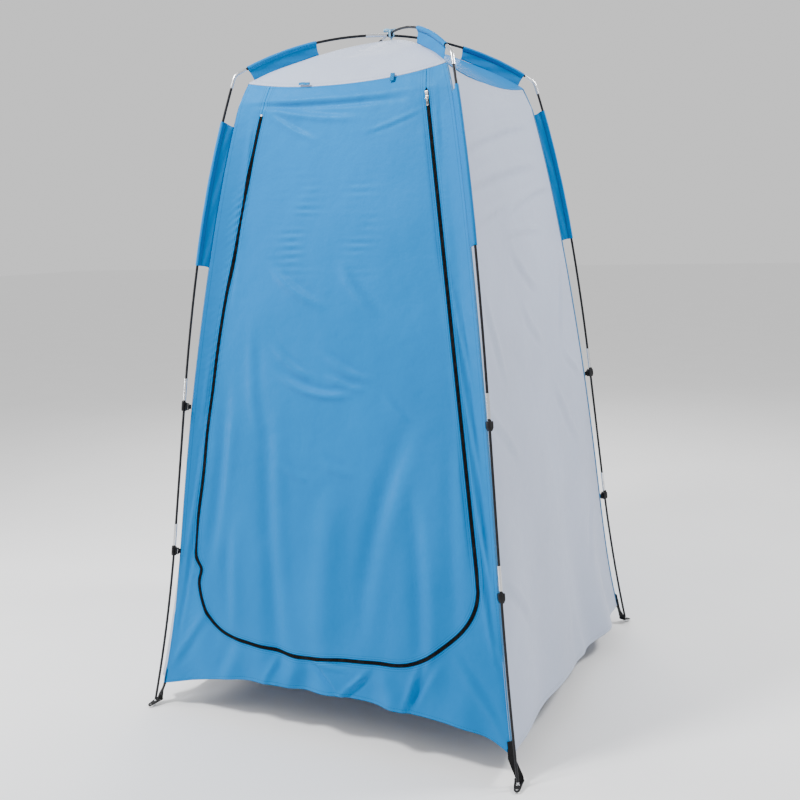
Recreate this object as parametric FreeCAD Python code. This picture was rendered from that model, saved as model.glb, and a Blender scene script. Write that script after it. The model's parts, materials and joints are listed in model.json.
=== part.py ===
import FreeCAD, Part
import math
import os

from FreeCAD import Vector

# A privacy shower tent: two crossed shock-corded pole arches that carry a four-walled fabric
# cabin with a zipped door. Millimetres, +Z up, the front wall and its door face -Y, and the
# origin is on the ground under the crossing of the poles. Everything that repeats at the four
# corners is drawn once in the XZ plane, with +X pointing away from the tent's centre, and is
# then turned about Z to its corner.

# ---- driving dimensions ----
FOOT_SPACING = 1120.0            # between neighbouring pole feet
CROSSING_HEIGHT = 1900.0         # where the two arches cross
POLE_RADIUS = 3.5
POLE_BORE = 1.9
POLE_STACK = 3.8                 # each arch runs this far below or above the crossing height

# One leg from its foot up: (length, radius it bends to); + bends inwards, None is straight.
LEG_SECTIONS = [(516.0, -5200.0), (421.0, None), (425.0, 6400.0), (438.0, 3270.0)]
FOOT_LEAN = 13.3                 # degrees from upright, at the foot
PIN_LENGTH = 18.0                # bare steel below the pole tube
PIN_RADIUS = 2.7
PLUG_RADIUS = 1.7
PLUG_LENGTH = 22.0
COLLAR_RADIUS = 3.45
COLLAR_LENGTH = 2.5

FERRULE_LENGTH = 62.0
FERRULE_RADIUS = 4.4
FERRULE_BORE = 3.7
ROOF_JOINT = 45.0                # from the crossing to the roof ferrule's middle
ELBOW_BEND = 30.0
ELBOW_LEG = 24.0
ELBOW_RADIUS = 4.6
ELBOW_BORE = 3.6
CORD_RADIUS = 1.3

FABRIC = 1.0                     # thickness of every sheet
HEM_HEIGHT = 66.0
EAVE_HEIGHT = 1749.5
EAVE_HALF = 293.0
BAND_HEIGHT = 1700.0             # the walls lean in sharply above this
SEAM_GAP = 14.0                  # wall corner to pole along X and along Y, low down
SEAM_GAP_HIGH = 24.0             # the same beside the wall sleeves
GAP_START = 890.0
GAP_END = 1180.0
ROOF_APEX = 1884.0
ROOF_BULGE = 19.0

WALL_SLEEVE = (1308.0, 1693.0)   # heights
SLEEVE_DROPS = {"front_left": 40.0, "front_right": 0.0, "back_right": 0.0, "back_left": 0.0}
ROOF_SLEEVE = (222.0, 417.0)     # distances from the crossing
SLEEVE_RADIUS = 5.6
SLEEVE_BORE = 4.9
SLEEVE_CLEARANCE = 0.9

CLIP_JOINTS = {"lower": 1, "upper": 2}   # each clip sits under the ferrule below this section
CLIP_GAP = 17.0                  # clip middle to the ferrule above it
CLIP_BORE = 3.75
CLIP_MOUTH = 5.8                 # width of the hook's open flank
CLIP_WIDTH = 17.0
CLIP_TIP_WIDTH = 9.0
CLIP_HEIGHTS = (-13.0, -5.0, 11.0)   # tip, shoulder and top, from the clip's middle
CLIP_FRONT = 6.8                 # its faces, out from and in from the pole's middle
CLIP_BACK = 7.2
CLIP_NIB_WIDTH = 6.0
CLIP_NIB_HEIGHT = 4.5
CLIP_BAR_REACH = 6.8             # the slotted bar behind the hook
CLIP_BAR_HALF = (2.0, 10.0)      # half its thickness and half its height
CLIP_BAR_MIDDLE = -1.0
CLIP_RAIL = 1.9                  # the bar's outer rail, which the webbing goes round
CLIP_SLOT = 2.2
CLIP_SLOT_HALF = 7.5             # half the slot's height
LOOP_END = 18.2                  # the webbing loop's far end, in from the pole's middle
LOOP_HALF = (3.0, 6.5)
LOOP_INSIDE = 2.1                # half the opening between its two layers
LOOP_SPARE = 0.2
LOOP_WEBBING = 1.6

# The door lies in the front wall's flat middle. Its outline is in that plane: x, and the
# distance down from BAND_HEIGHT.
DOOR_FOLD = 60.0
DOOR_BOTTOM = 1491.0
DOOR_TOP_RIGHT = 248.0
DOOR_TOP_LEFT = -232.0
DOOR_SIDE_END = 1251.0           # where the round lower corners begin
DOOR_SIDE_HALF = 433.0
DOOR_CORNER = 240.0
DOOR_LEFT_BOW = 30.0
ZIP_END_RIGHT = 8.0
ZIP_END_LEFT = 36.0
ZIP_GAP = 0.8                    # half the gap between the two rows of teeth
ZIP_TEETH = 3.6                  # outer edge of the teeth, from the zip's middle
ZIP_TEETH_HEIGHT = 1.2           # half the thickness of the coil
ZIP_TAPE = 13.0
ZIP_TAPE_BACK = 1.1              # rear face of the tape, behind the fabric's middle
ZIP_CHANNEL = 4.4
FLAT_TOP_HALF = 275.0            # half width of the flat middle at BAND_HEIGHT
FLAT_SPREAD = 0.156              # its growth per millimetre of height lost
HEM_RISE = 52.0                  # the front hem's middle stands this much higher
SIDE_SPLIT = 190.0               # the sill runs between these two x positions

SLIDER_TOP = 16.5                # upper slider's middle, down the zip from BAND_HEIGHT
SLIDER_STEP = 12.0
SLIDER_WIDTH = 9.6
SLIDER_LENGTH = 11.0
SLIDER_HALF = 2.6                # outer faces of its two plates, from the zip's middle plane
SLIDER_PLATE = 1.1
SLIDER_CORNER = 1.2
DIVIDER_WIDTH = 1.0
BAIL_WIDTH = 2.4
BAIL_TOP = 5.2
BAIL_HOLE = 0.85

PULL_PIVOT = 3.9                 # pull's pin, out from the zip's middle plane
PULL_OFFSET = 1.5                # the pin, down the zip from the slider's middle
PULL_PIN = 0.75
PULL_WIDTH = 5.2
PULL_THICKNESS = 1.2
PULL_ARM = 1.0
PULL_SHOULDER = 6.4              # where the arms end and the tab begins
PULL_END = 21.0
PULL_WINDOW = (9.5, 18.6, 2.4)   # from, to and width of the opening in the tab

TIE_THICKNESS = 1.2
TIE_SIZES = {"left": (-115.0, 36.0, 9.0), "right": (148.0, 13.0, 24.0)}   # x, width, drop
TIE_DROP = 6.0                   # the door's ties are sewn this far below the eave
TIE_GAP = 1.0                    # between a tie and the wall behind it
BAND_WIDTH = 5.0                 # the two bands of tape round the crossing
BAND_HALF = 8.0
BAND_SPARE = 0.4
TAPE_RADIUS = 1.6                # the tape rolled up, in the bow and its tail
KNOT_RADIUS = 3.4
BOW_RADIUS = 9.0
BOW_REACH = 13.0
TAIL_LENGTH = 24.0
TAIL_HEADING = (0.9, 0.35, 0.12)
TIE_ROOT = 0.3                   # the tape's lower end, just above the roof's apex

STRAP_WIDTH = 20.0
STRAP_THICKNESS = 1.6
STRAP_DROP = 30.0                # below the hem
STRAP_SEWN = 8.0                 # above the hem

RING_THICKNESS = 3.0
RING_BACK = 20.0                 # the strap's end, from the eyelet's middle
RING_HALVES = (13.0, 10.5, 8.0)  # half widths at the back, the eyelet and the peg hole
RING_SLOT = (12.5, 16.5, 10.4)   # from, to and half width
RING_TILT = 16.0                 # the peg end points down
RING_HEIGHT = 11.0               # eyelet's middle above the ground
RING_EYELET = 4.6
PEG_HOLE = 3.5
PEG_REACH = 15.0                 # eyelet's middle to the peg hole's

CORNERS = {"front_left": 225.0, "front_right": 315.0, "back_right": 45.0, "back_left": 135.0}
RING_HEADING = {"front_left": 245.0, "front_right": 278.0, "back_right": 65.0, "back_left": 98.0}
WALLS = {"right": 90.0, "back": 180.0, "left": 270.0}
ROOFS = {"front": 0.0, "right": 90.0, "back": 180.0, "left": 270.0}

ROOT2 = math.sqrt(2.0)
BIG = 900.0                      # larger than the tent's half width, for cutting shapes
TOLERANCE = 0.01
AXIS_X = Vector(1, 0, 0)
AXIS_Y = Vector(0, 1, 0)
AXIS_Z = Vector(0, 0, 1)
ZERO = Vector(0, 0, 0)

os.makedirs("parts", exist_ok=True)


# ---- small helpers ----
def write(name, solids):
    """One STEP for one node, from one shape or a list of separate ones."""
    shape = solids if hasattr(solids, "exportStep") else Part.makeCompound(solids)
    if not shape.isValid():
        print("not valid:", name)
    shape.exportStep("parts/" + name + ".step")


def turned(shape, degrees):
    """A copy turned about Z."""
    result = shape.copy()
    result.rotate(ZERO, AXIS_Z, degrees)
    return result


def box(low, high):
    size = Vector(*high) - Vector(*low)
    return Part.makeBox(size.x, size.y, size.z, Vector(*low))


def polygon(points):
    return Part.makePolygon([Vector(*p) for p in points + points[:1]])


def tube(outer, inner, length, base, direction):
    solid = Part.makeCylinder(outer, length, base, direction)
    if inner:
        solid = solid.cut(Part.makeCylinder(inner, length + 2, base - direction, direction))
    return solid


# ---- the curve of a leg, in the corner's own upright plane ----
class Station:
    """A place on a pole: how far out, how high, and how far it leans inwards, in radians."""

    def __init__(self, out, height, lean):
        self.out = out
        self.height = height
        self.lean = lean

    def point(self):
        return Vector(self.out, 0, self.height)

    def heading(self):
        return Vector(-math.sin(self.lean), 0, math.cos(self.lean))

    def inwards(self):
        """The direction square to the pole, on the fabric's side."""
        return Vector(-math.cos(self.lean), 0, -math.sin(self.lean))

    def along(self, length, curvature):
        """The station further on, along an arc of this curvature."""
        lean = self.lean + curvature * length
        if curvature == 0:
            ahead = self.point() + self.heading() * length
            return Station(ahead.x, ahead.z, lean)
        out = self.out + (math.cos(lean) - math.cos(self.lean)) / curvature
        height = self.height + (math.sin(lean) - math.sin(self.lean)) / curvature
        return Station(out, height, lean)

    def rod(self, length, curvature, outer, inner=0.0):
        """A rod or tube that starts here and follows the arc."""
        profile = Part.Face(Part.Wire(Part.makeCircle(outer, self.point(), self.heading())))
        if inner:
            hole = Part.Face(Part.Wire(Part.makeCircle(inner, self.point(), self.heading())))
            profile = profile.cut(hole).Faces[0]
        if curvature == 0:
            return profile.extrude(self.heading() * length)
        centre = self.point() + self.inwards() * (1.0 / curvature)
        axis = Vector(0, -1, 0) if curvature > 0 else Vector(0, 1, 0)
        return profile.revolve(centre, axis, math.degrees(abs(curvature) * length))


def leg_runs():
    """Each leg section as (start station, length, curvature)."""
    station = Station(FOOT_SPACING / 2 * ROOT2, 0.0, math.radians(FOOT_LEAN))
    runs = []
    for length, radius in LEG_SECTIONS:
        curvature = 1.0 / radius if radius else 0.0
        runs.append((station, length, curvature))
        station = station.along(length, curvature)
    return runs, station


LEG, LEG_TOP = leg_runs()


def leg_at(height):
    """The station of a leg at a height."""
    for start, length, curvature in reversed(LEG):
        if height >= start.height or start is LEG[0][0]:
            break
    if curvature == 0:
        return start.along((height - start.height) / math.cos(start.lean), 0.0)
    lean = math.asin(math.sin(start.lean) + curvature * (height - start.height))
    return start.along((lean - start.lean) / curvature, curvature)


def wall_half(height):
    """Half the cabin's width at a height: the wall's corner seam is at (this, this)."""
    share = min(max((height - GAP_START) / (GAP_END - GAP_START), 0.0), 1.0)
    gap = SEAM_GAP + (SEAM_GAP_HIGH - SEAM_GAP) * share * share * (3 - 2 * share)
    return leg_at(height).out / ROOT2 - gap


class Arch:
    """The roof part of one pole: an elbow at each end of a circular arc through the crossing."""

    def __init__(self, crossing):
        self.crossing = crossing
        least, most = math.radians(20.0), math.radians(60.0)
        for _ in range(50):
            self.turn = (least + most) / 2
            self.start = LEG_TOP.along(ELBOW_BEND * self.turn, 1.0 / ELBOW_BEND)
            slope = math.pi / 2 - self.start.lean
            self.radius = self.start.out / math.sin(slope)
            if self.start.height + self.radius * (1 - math.cos(slope)) > crossing:
                least = self.turn
            else:
                most = self.turn

    def station(self, out):
        """The station heading inwards at a distance out from the crossing; - is beyond it."""
        slope = math.asin(out / self.radius)
        height = self.crossing - self.radius * (1 - math.cos(slope))
        return Station(out, height, math.pi / 2 - slope)

    def rod(self, out_from, out_to, outer, inner=0.0):
        length = self.radius * (math.asin(out_from / self.radius) - math.asin(out_to / self.radius))
        return self.station(out_from).rod(length, 1.0 / self.radius, outer, inner)


# ---- poles ----
def leg_tubes():
    """The four tubes of one leg, from the foot pin up to the elbow."""
    tubes = []
    for index, (start, length, curvature) in enumerate(LEG):
        bare = PIN_LENGTH if index == 0 else 0.0
        tube_start = start.along(bare, curvature)
        tubes.append(tube_start.rod(length - bare, curvature, POLE_RADIUS, POLE_BORE))
    return tubes


def ferrule(joint, before, after):
    """A steel sleeve over a joint; it follows the tubes' curvatures on both sides."""
    half = FERRULE_LENGTH / 2
    low = joint.along(-half, before).rod(half, before, FERRULE_RADIUS, FERRULE_BORE)
    high = joint.rod(half, after, FERRULE_RADIUS, FERRULE_BORE)
    return low.fuse(high).removeSplitter()


def elbow(arch):
    """A bent steel tube over the leg's top end and the roof tube's lower end."""
    leg_bend = LEG[-1][2]
    runs = [(LEG_TOP.along(-ELBOW_LEG, leg_bend), ELBOW_LEG, leg_bend),
            (LEG_TOP, ELBOW_BEND * arch.turn, 1.0 / ELBOW_BEND),
            (arch.start, ELBOW_LEG, 1.0 / arch.radius)]
    pieces = [s.rod(n, k, ELBOW_RADIUS, ELBOW_BORE) for s, n, k in runs]
    return pieces[0].fuse(pieces[1:]).removeSplitter()


def foot_pin():
    """A steel pin with a collar and a plug that fills the tube's end; its tip is cut level."""
    foot = LEG[0][0]
    heading = foot.heading()
    bare = PIN_LENGTH - 0.1
    spare = 2 * PIN_RADIUS
    pin = tube(PIN_RADIUS, 0, bare + spare, foot.point() - heading * spare, heading)
    collar = tube(COLLAR_RADIUS, 0, COLLAR_LENGTH,
                  foot.point() + heading * (bare - COLLAR_LENGTH), heading)
    plug = tube(PLUG_RADIUS, 0, PLUG_LENGTH, foot.point() + heading * (bare - 1.0), heading)
    ground = box((0, -BIG, -BIG), (BIG, BIG, 0))
    return pin.fuse([collar, plug]).cut(ground).removeSplitter()


def shock_cord(arch):
    """The elastic inside one leg, its elbow and half of the roof."""
    runs = LEG + [(LEG_TOP, ELBOW_BEND * arch.turn, 1.0 / ELBOW_BEND)]
    start, length, curvature = runs[0]
    inset = PIN_LENGTH + PLUG_LENGTH + 1.0
    runs[0] = (start.along(inset, curvature), length - inset, curvature)
    rods = [s.rod(n, k, CORD_RADIUS) for s, n, k in runs]
    rods.append(arch.rod(arch.start.out, 0.0, CORD_RADIUS))
    return rods


ARCHES = {"a": Arch(CROSSING_HEIGHT - POLE_STACK), "b": Arch(CROSSING_HEIGHT + POLE_STACK)}
ARCH_OF = {"front_left": "a", "back_right": "a", "front_right": "b", "back_left": "b"}
JOINT_CORNER = {"a": "front_left", "b": "back_left"}   # the roof ferrule's side

ferrules = []
for corner, azimuth in CORNERS.items():
    arch = ARCHES[ARCH_OF[corner]]
    tubes = leg_tubes()
    write("pole_lower_" + corner, turned(tubes[0], azimuth))
    write("pole_middle_" + corner, turned(tubes[1], azimuth))
    write("pole_upper_" + corner, [turned(t, azimuth) for t in tubes[2:]])
    near = ROOF_JOINT if JOINT_CORNER[ARCH_OF[corner]] == corner else -ROOF_JOINT
    roof = arch.rod(arch.start.out, near, POLE_RADIUS, POLE_BORE)
    write("pole_roof_" + corner, turned(roof, azimuth))
    for (_, _, before), (joint, _, after) in zip(LEG, LEG[1:]):
        ferrules.append(turned(ferrule(joint, before, after), azimuth))
    if near > 0:
        bend = 1.0 / arch.radius
        ferrules.append(turned(ferrule(arch.station(near), bend, bend), azimuth))

write("pole_ferrules", ferrules)
write("elbows", [turned(elbow(ARCHES[ARCH_OF[c]]), a) for c, a in CORNERS.items()])
write("foot_pins", [turned(foot_pin(), a) for a in CORNERS.values()])
for key in ("a", "b"):
    ends = [c for c in CORNERS if ARCH_OF[c] == key]
    halves = [turned(r, CORNERS[c]) for c in ends for r in shock_cord(ARCHES[key])]
    write("shock_cord_" + key, halves)


# ---- fabric cabin ----
def wedge(low, high):
    """The upright triangular space that belongs to the front wall, between the diagonals."""
    base = polygon([(0, 0, low), (-BIG, -BIG, low), (BIG, -BIG, low)])
    return Part.Face(base).extrude(Vector(0, 0, high - low))


FRONT_WEDGE = wedge(0.0, CROSSING_HEIGHT)
WALL_STEPS = 12


def wall_heights():
    step = (BAND_HEIGHT - HEM_HEIGHT) / WALL_STEPS
    return [HEM_HEIGHT + step * i for i in range(WALL_STEPS + 1)]


def spline(points):
    curve = Part.BSplineCurve()
    curve.interpolate(points)
    return curve.toShape()


def wall():
    """A whole wall, in the front wall's place: one curved sheet mitred at both corners."""
    outer = [Vector(-BIG, -wall_half(h), h) for h in wall_heights()]
    shift = Vector(0, FABRIC, 0)
    eave = Vector(-BIG, -EAVE_HALF, EAVE_HEIGHT)
    front = spline(outer)
    back = spline([p + shift for p in outer])
    edges = [front, Part.makeLine(outer[-1], eave), Part.makeLine(eave, eave + shift),
             Part.makeLine(eave + shift, outer[-1] + shift), back,
             Part.makeLine(outer[0] + shift, outer[0])]
    profile = Part.Face(Part.Wire(Part.__sortEdges__(edges)))
    return profile.extrude(Vector(2 * BIG, 0, 0)).common(FRONT_WEDGE)


SLOPE = (wall_half(HEM_HEIGHT) - wall_half(BAND_HEIGHT)) / (BAND_HEIGHT - HEM_HEIGHT)
PLANE_ANGLE = math.atan(SLOPE)
PLANE_TOP = wall_half(BAND_HEIGHT)
PLANE_BOTTOM = (BAND_HEIGHT - HEM_HEIGHT) / math.cos(PLANE_ANGLE)
NORMAL = Vector(0, -math.cos(PLANE_ANGLE), math.sin(PLANE_ANGLE))


def to_wall(shape):
    """From the door's drawing plane (X across, Y up, Z outwards) to the front wall."""
    result = shape.copy()
    result.rotate(ZERO, AXIS_X, 90.0 - math.degrees(PLANE_ANGLE))
    result.translate(Vector(0, -PLANE_TOP, BAND_HEIGHT))
    return result


def left_edge(down):
    """The middle of the zip's left run: its x at a distance down."""
    share = down / DOOR_SIDE_END
    bow = DOOR_LEFT_BOW * 4 * share * (1 - share)
    return DOOR_TOP_LEFT - (DOOR_SIDE_HALF + DOOR_TOP_LEFT) * share - bow


def door_face(grow):
    """The zip's line closed by a level top, made larger by grow on its zipped sides."""
    centre = DOOR_SIDE_HALF - DOOR_CORNER
    radius = DOOR_CORNER + grow
    diagonal = radius / ROOT2
    bottom = -DOOR_BOTTOM - grow
    middle = DOOR_SIDE_END / 2
    top_left = Vector(DOOR_TOP_LEFT - grow, 0, 0)
    bow_left = Vector(left_edge(middle) - grow, -middle, 0)
    side_left = Vector(-centre - radius, -DOOR_SIDE_END, 0)
    side_right = Vector(centre + radius, -DOOR_SIDE_END, 0)
    top_right = Vector(DOOR_TOP_RIGHT + grow, 0, 0)
    low_left = Vector(-centre, bottom, 0)
    low_right = Vector(centre, bottom, 0)
    knee_left = Vector(-centre - diagonal, -DOOR_SIDE_END - diagonal, 0)
    knee_right = Vector(centre + diagonal, -DOOR_SIDE_END - diagonal, 0)
    edges = [Part.Arc(top_left, bow_left, side_left).toShape(),
             Part.Arc(side_left, knee_left, low_left).toShape(),
             Part.makeLine(low_left, low_right),
             Part.Arc(low_right, knee_right, side_right).toShape(),
             Part.makeLine(side_right, top_right),
             Part.makeLine(top_right, top_left)]
    return Part.Face(Part.Wire(edges))


def plate(face, low, high):
    """A face of the drawing plane made solid between two heights above it."""
    moved = face.copy()
    moved.translate(Vector(0, 0, low))
    return moved.extrude(Vector(0, 0, high - low))


def door_plate(grow, low, high):
    return plate(door_face(grow), low, high)


def along_zip(one, other, low, high):
    """A band beside the zip's line between two offsets, as long as the zip is."""
    inner, outer = min(one, other), max(one, other)
    band = door_plate(outer, low, high).cut(door_plate(inner, low - 1, high + 1))
    over_left = box((-BIG, -ZIP_END_LEFT, -BIG), (0, BIG, BIG))
    over_right = box((0, -ZIP_END_RIGHT, -BIG), (BIG, BIG, BIG))
    return band.cut([over_left, over_right])


def flat_half(down):
    """Half the width of the front wall's flat middle."""
    return FLAT_TOP_HALF + FLAT_SPREAD * down * math.cos(PLANE_ANGLE)


def flat_plate():
    """The front wall's flat middle from BAND_HEIGHT to the risen hem, still without a door."""
    top = flat_half(0.0)
    low = flat_half(PLANE_BOTTOM)
    corner_left = Vector(-low, -PLANE_BOTTOM, 0)
    corner_right = Vector(low, -PLANE_BOTTOM, 0)
    edges = [Part.makeLine(Vector(top, 0, 0), Vector(-top, 0, 0)),
             Part.makeLine(Vector(-top, 0, 0), corner_left),
             Part.Arc(corner_left, Vector(0, HEM_RISE - PLANE_BOTTOM, 0), corner_right).toShape(),
             Part.makeLine(corner_right, Vector(top, 0, 0))]
    return plate(Part.Face(Part.Wire(edges)), -FABRIC / 2, FABRIC / 2)


def side_strip(side):
    """The curved strip of the front wall between its flat middle and a corner seam."""
    seam = []
    fold = []
    for h in wall_heights():
        down = (BAND_HEIGHT - h) / math.cos(PLANE_ANGLE)
        seam.append(Vector(side * wall_half(h), -wall_half(h), h))
        fold.append(Vector(side * flat_half(down), -PLANE_TOP - SLOPE * (BAND_HEIGHT - h), h))
    face = Part.makeRuledSurface(spline(seam), spline(fold))
    face.translate(NORMAL * (-FABRIC / 2))
    return face.extrude(NORMAL * FABRIC).common(FRONT_WEDGE)


def below(down):
    """Everything in the drawing plane below a distance down."""
    return box((-BIG, -3 * BIG, -BIG), (BIG, -down, BIG))


def front_wall():
    """Left side, right side, sill and header of the front wall, round the zip and the door."""
    sheet = flat_plate()
    frame = sheet.cut(door_plate(ZIP_CHANNEL, -BIG, BIG)).common(below(DOOR_FOLD))
    left = frame.common(box((-BIG, -3 * BIG, -BIG), (-SIDE_SPLIT, BIG, BIG)))
    right = frame.common(box((SIDE_SPLIT, -3 * BIG, -BIG), (BIG, BIG, BIG)))
    sill = frame.common(box((-SIDE_SPLIT, -3 * BIG, -BIG), (SIDE_SPLIT, BIG, BIG)))
    channel = along_zip(-ZIP_CHANNEL, ZIP_CHANNEL, -FABRIC, FABRIC)
    header = sheet.cut(channel).cut(below(DOOR_FOLD))
    lean = Part.Face(polygon([(-BIG, -PLANE_TOP, BAND_HEIGHT), (-BIG, -EAVE_HALF, EAVE_HEIGHT),
                              (-BIG, FABRIC - EAVE_HALF, EAVE_HEIGHT),
                              (-BIG, FABRIC - PLANE_TOP, BAND_HEIGHT)]))
    band = lean.extrude(Vector(2 * BIG, 0, 0)).common(FRONT_WEDGE)
    return to_wall(left), to_wall(right), to_wall(sill), [band, to_wall(header)]


left, right, sill, header = front_wall()
write("front_wall_left", [left, side_strip(-1)])
write("front_wall_right", [right, side_strip(1)])
write("front_wall_sill", sill)
write("front_wall_header", header)
for name, azimuth in WALLS.items():
    write(name + "_wall", turned(wall(), azimuth))

door = door_plate(-ZIP_CHANNEL, -FABRIC / 2, FABRIC / 2).common(below(DOOR_FOLD + 1.0))
write("door_panel", to_wall(door))


# ---- roof ----
ROOF_EAVE = EAVE_HEIGHT + 1.5 * FABRIC


def roof_point(out):
    """The ridge in a corner's plane: distance from the middle of the tent to height."""
    half = out / ROOT2
    rise = ROOF_APEX - ROOF_EAVE
    chord = math.hypot(EAVE_HALF, rise)
    radius = chord * chord / (8 * ROOF_BULGE) + ROOF_BULGE / 2
    tilt = math.atan2(rise, EAVE_HALF)
    mid = Vector(EAVE_HALF / 2, 0, (ROOF_APEX + ROOF_EAVE) / 2)
    centre = mid - Vector(math.sin(tilt), 0, math.cos(tilt)) * (radius - ROOF_BULGE)
    return centre.z + math.sqrt(radius * radius - (half - centre.x) ** 2)


def roof_sheet():
    """The front roof triangle: a sheet arched from the apex to the eave, mitred at its ridges."""
    halves = [0.0, EAVE_HALF / 2, EAVE_HALF]
    upper = [Vector(-BIG, -h, roof_point(h * ROOT2)) for h in halves]
    lower = [p - Vector(0, 0, FABRIC) for p in upper]
    edges = [Part.Arc(*upper).toShape(), Part.makeLine(upper[2], lower[2]),
             Part.Arc(*reversed(lower)).toShape(), Part.makeLine(lower[0], upper[0])]
    profile = Part.Face(Part.Wire(edges))
    return profile.extrude(Vector(2 * BIG, 0, 0)).common(FRONT_WEDGE)


for name, azimuth in ROOFS.items():
    write("roof_" + name, turned(roof_sheet(), azimuth))


# ---- pole sleeves ----
SLEEVE_STEPS = 8
WEB_EDGE = (SLEEVE_RADIUS + SLEEVE_BORE) / 2     # the web ends inside the pocket's wall


def upright_web(points):
    """A sheet in a corner's own plane, from its outline as points of that plane."""
    outline = polygon([(p.x, -FABRIC / 2, p.z) for p in points])
    return Part.Face(outline).extrude(Vector(0, FABRIC, 0))


def spread(low, high):
    return [low + (high - low) * i / SLEEVE_STEPS for i in range(SLEEVE_STEPS + 1)]


def pocket_edge(stations):
    return [s.point() + s.inwards() * WEB_EDGE for s in stations]


def roof_sleeve(arch):
    """A pocket round the roof pole, and the web that hangs the roof's ridge from it."""
    near, far = ROOF_SLEEVE
    outs = spread(near, far)
    ridge = [Vector(out, 0, roof_point(out) + SLEEVE_CLEARANCE) for out in reversed(outs)]
    web = upright_web(pocket_edge([arch.station(out) for out in outs]) + ridge)
    return web.fuse(arch.rod(far, near, SLEEVE_RADIUS, SLEEVE_BORE)).removeSplitter()


def wall_sleeve(drop):
    """A pocket round the leg, and the web that holds the wall's corner seam to it."""
    low, high = [height - drop for height in WALL_SLEEVE]
    heights = spread(low, high)
    seam = [Vector(wall_half(h) * ROOT2 + SLEEVE_CLEARANCE, 0, h) for h in reversed(heights)]
    web = upright_web(pocket_edge([leg_at(h) for h in heights]) + seam)
    pockets = []
    for start, length, bend in LEG[2:]:
        base = leg_at(max(start.height, low))
        top = leg_at(min(start.along(length, bend).height, high) - 0.001)
        pockets.append(base.rod((top.lean - base.lean) / bend, bend, SLEEVE_RADIUS, SLEEVE_BORE))
    return web.fuse(pockets).removeSplitter()


write("roof_sleeves", [turned(roof_sleeve(ARCHES[ARCH_OF[c]]), a) for c, a in CORNERS.items()])
write("wall_sleeves", [turned(wall_sleeve(SLEEVE_DROPS[c]), a) for c, a in CORNERS.items()])


# ---- zip ----
def zip_half(inner, outer, tape):
    """One side of the zip: its row of teeth, and the tape that is sewn behind the fabric."""
    teeth = along_zip(inner, outer, -ZIP_TEETH_HEIGHT, ZIP_TEETH_HEIGHT)
    backing = along_zip(outer, tape, -ZIP_TAPE_BACK, -FABRIC / 2)
    return teeth.fuse(backing).removeSplitter()


frame_half = zip_half(ZIP_GAP, ZIP_TEETH, ZIP_TAPE)
door_half = zip_half(-ZIP_GAP, -ZIP_TEETH, -ZIP_TAPE)
top_ends = door_half.cut(below(DOOR_FOLD))
write("zip_frame_half", [to_wall(frame_half)] + [to_wall(s) for s in top_ends.Solids])
write("zip_door_half", to_wall(door_half.common(below(DOOR_FOLD + 1.0))))


# The right-hand run of the zip is straight, so the sliders travel along this line.
RUN_TILT = math.atan((DOOR_SIDE_HALF - DOOR_TOP_RIGHT) / DOOR_SIDE_END)


def on_zip(solid, down):
    """Places a shape drawn with -Y down the zip and Z outwards on the right-hand run."""
    x = DOOR_TOP_RIGHT + math.tan(RUN_TILT) * down
    result = solid.copy()
    result.rotate(ZERO, AXIS_Z, math.degrees(RUN_TILT))
    result.translate(Vector(x, -down, 0))
    return to_wall(result)


def slider(outside):
    """A zip slider: two plates, the divider between them and the bail that holds its pull."""
    half_width, half_length = SLIDER_WIDTH / 2, SLIDER_LENGTH / 2
    inside = SLIDER_HALF - SLIDER_PLATE
    front = box((-half_width, -half_length, inside), (half_width, half_length, SLIDER_HALF))
    back = box((-half_width, -half_length, -SLIDER_HALF), (half_width, half_length, -inside))
    divider = box((-DIVIDER_WIDTH / 2, 1.0, -inside), (DIVIDER_WIDTH / 2, half_length - 0.5, inside))
    bail = box((-BAIL_WIDTH / 2, 1.0 - half_length, SLIDER_HALF), (BAIL_WIDTH / 2, 2.5, BAIL_TOP))
    hole = tube(BAIL_HOLE, 0, 2 * BAIL_WIDTH, Vector(-BAIL_WIDTH, -PULL_OFFSET, PULL_PIVOT), AXIS_X)
    body = front.fuse([back, divider, bail.cut(hole)]).removeSplitter()
    body = body.makeFillet(SLIDER_CORNER, [e for e in body.Edges if upright_corner(e)])
    return body if outside else mirrored(body)


def upright_corner(edge):
    """True for the four corner edges of a slider's plates."""
    middle = edge.CenterOfMass
    off_side = abs(abs(middle.x) - SLIDER_WIDTH / 2)
    off_end = abs(abs(middle.y) - SLIDER_LENGTH / 2)
    return max(off_side, off_end) < TOLERANCE


def mirrored(solid):
    return solid.mirror(ZERO, AXIS_Z)


def pull(outside):
    """A zip pull: a pin through the bail, two arms and the tab below them."""
    half = PULL_WIDTH / 2
    pin = tube(PULL_PIN, 0, PULL_WIDTH, Vector(-half, -PULL_OFFSET, PULL_PIVOT), AXIS_X)
    low, high = PULL_PIVOT - PULL_THICKNESS / 2, PULL_PIVOT + PULL_THICKNESS / 2
    arms = [box((x, -PULL_SHOULDER, low), (x + PULL_ARM, -PULL_OFFSET, high))
            for x in (-half, half - PULL_ARM)]
    tab = box((-half, -PULL_END, low), (half, -PULL_SHOULDER, high))
    start, end, width = PULL_WINDOW
    window = box((-width / 2, -end, low - 1), (width / 2, -start, high + 1))
    solid = pin.fuse(arms + [tab.cut(window)]).removeSplitter()
    return solid if outside else mirrored(solid)


write("zip_slider_upper", on_zip(slider(False), SLIDER_TOP))
write("zip_slider_lower", on_zip(slider(True), SLIDER_TOP + SLIDER_STEP))
write("zip_pull_inner", on_zip(pull(False), SLIDER_TOP))
write("zip_pull_outer", on_zip(pull(True), SLIDER_TOP + SLIDER_STEP))


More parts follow.
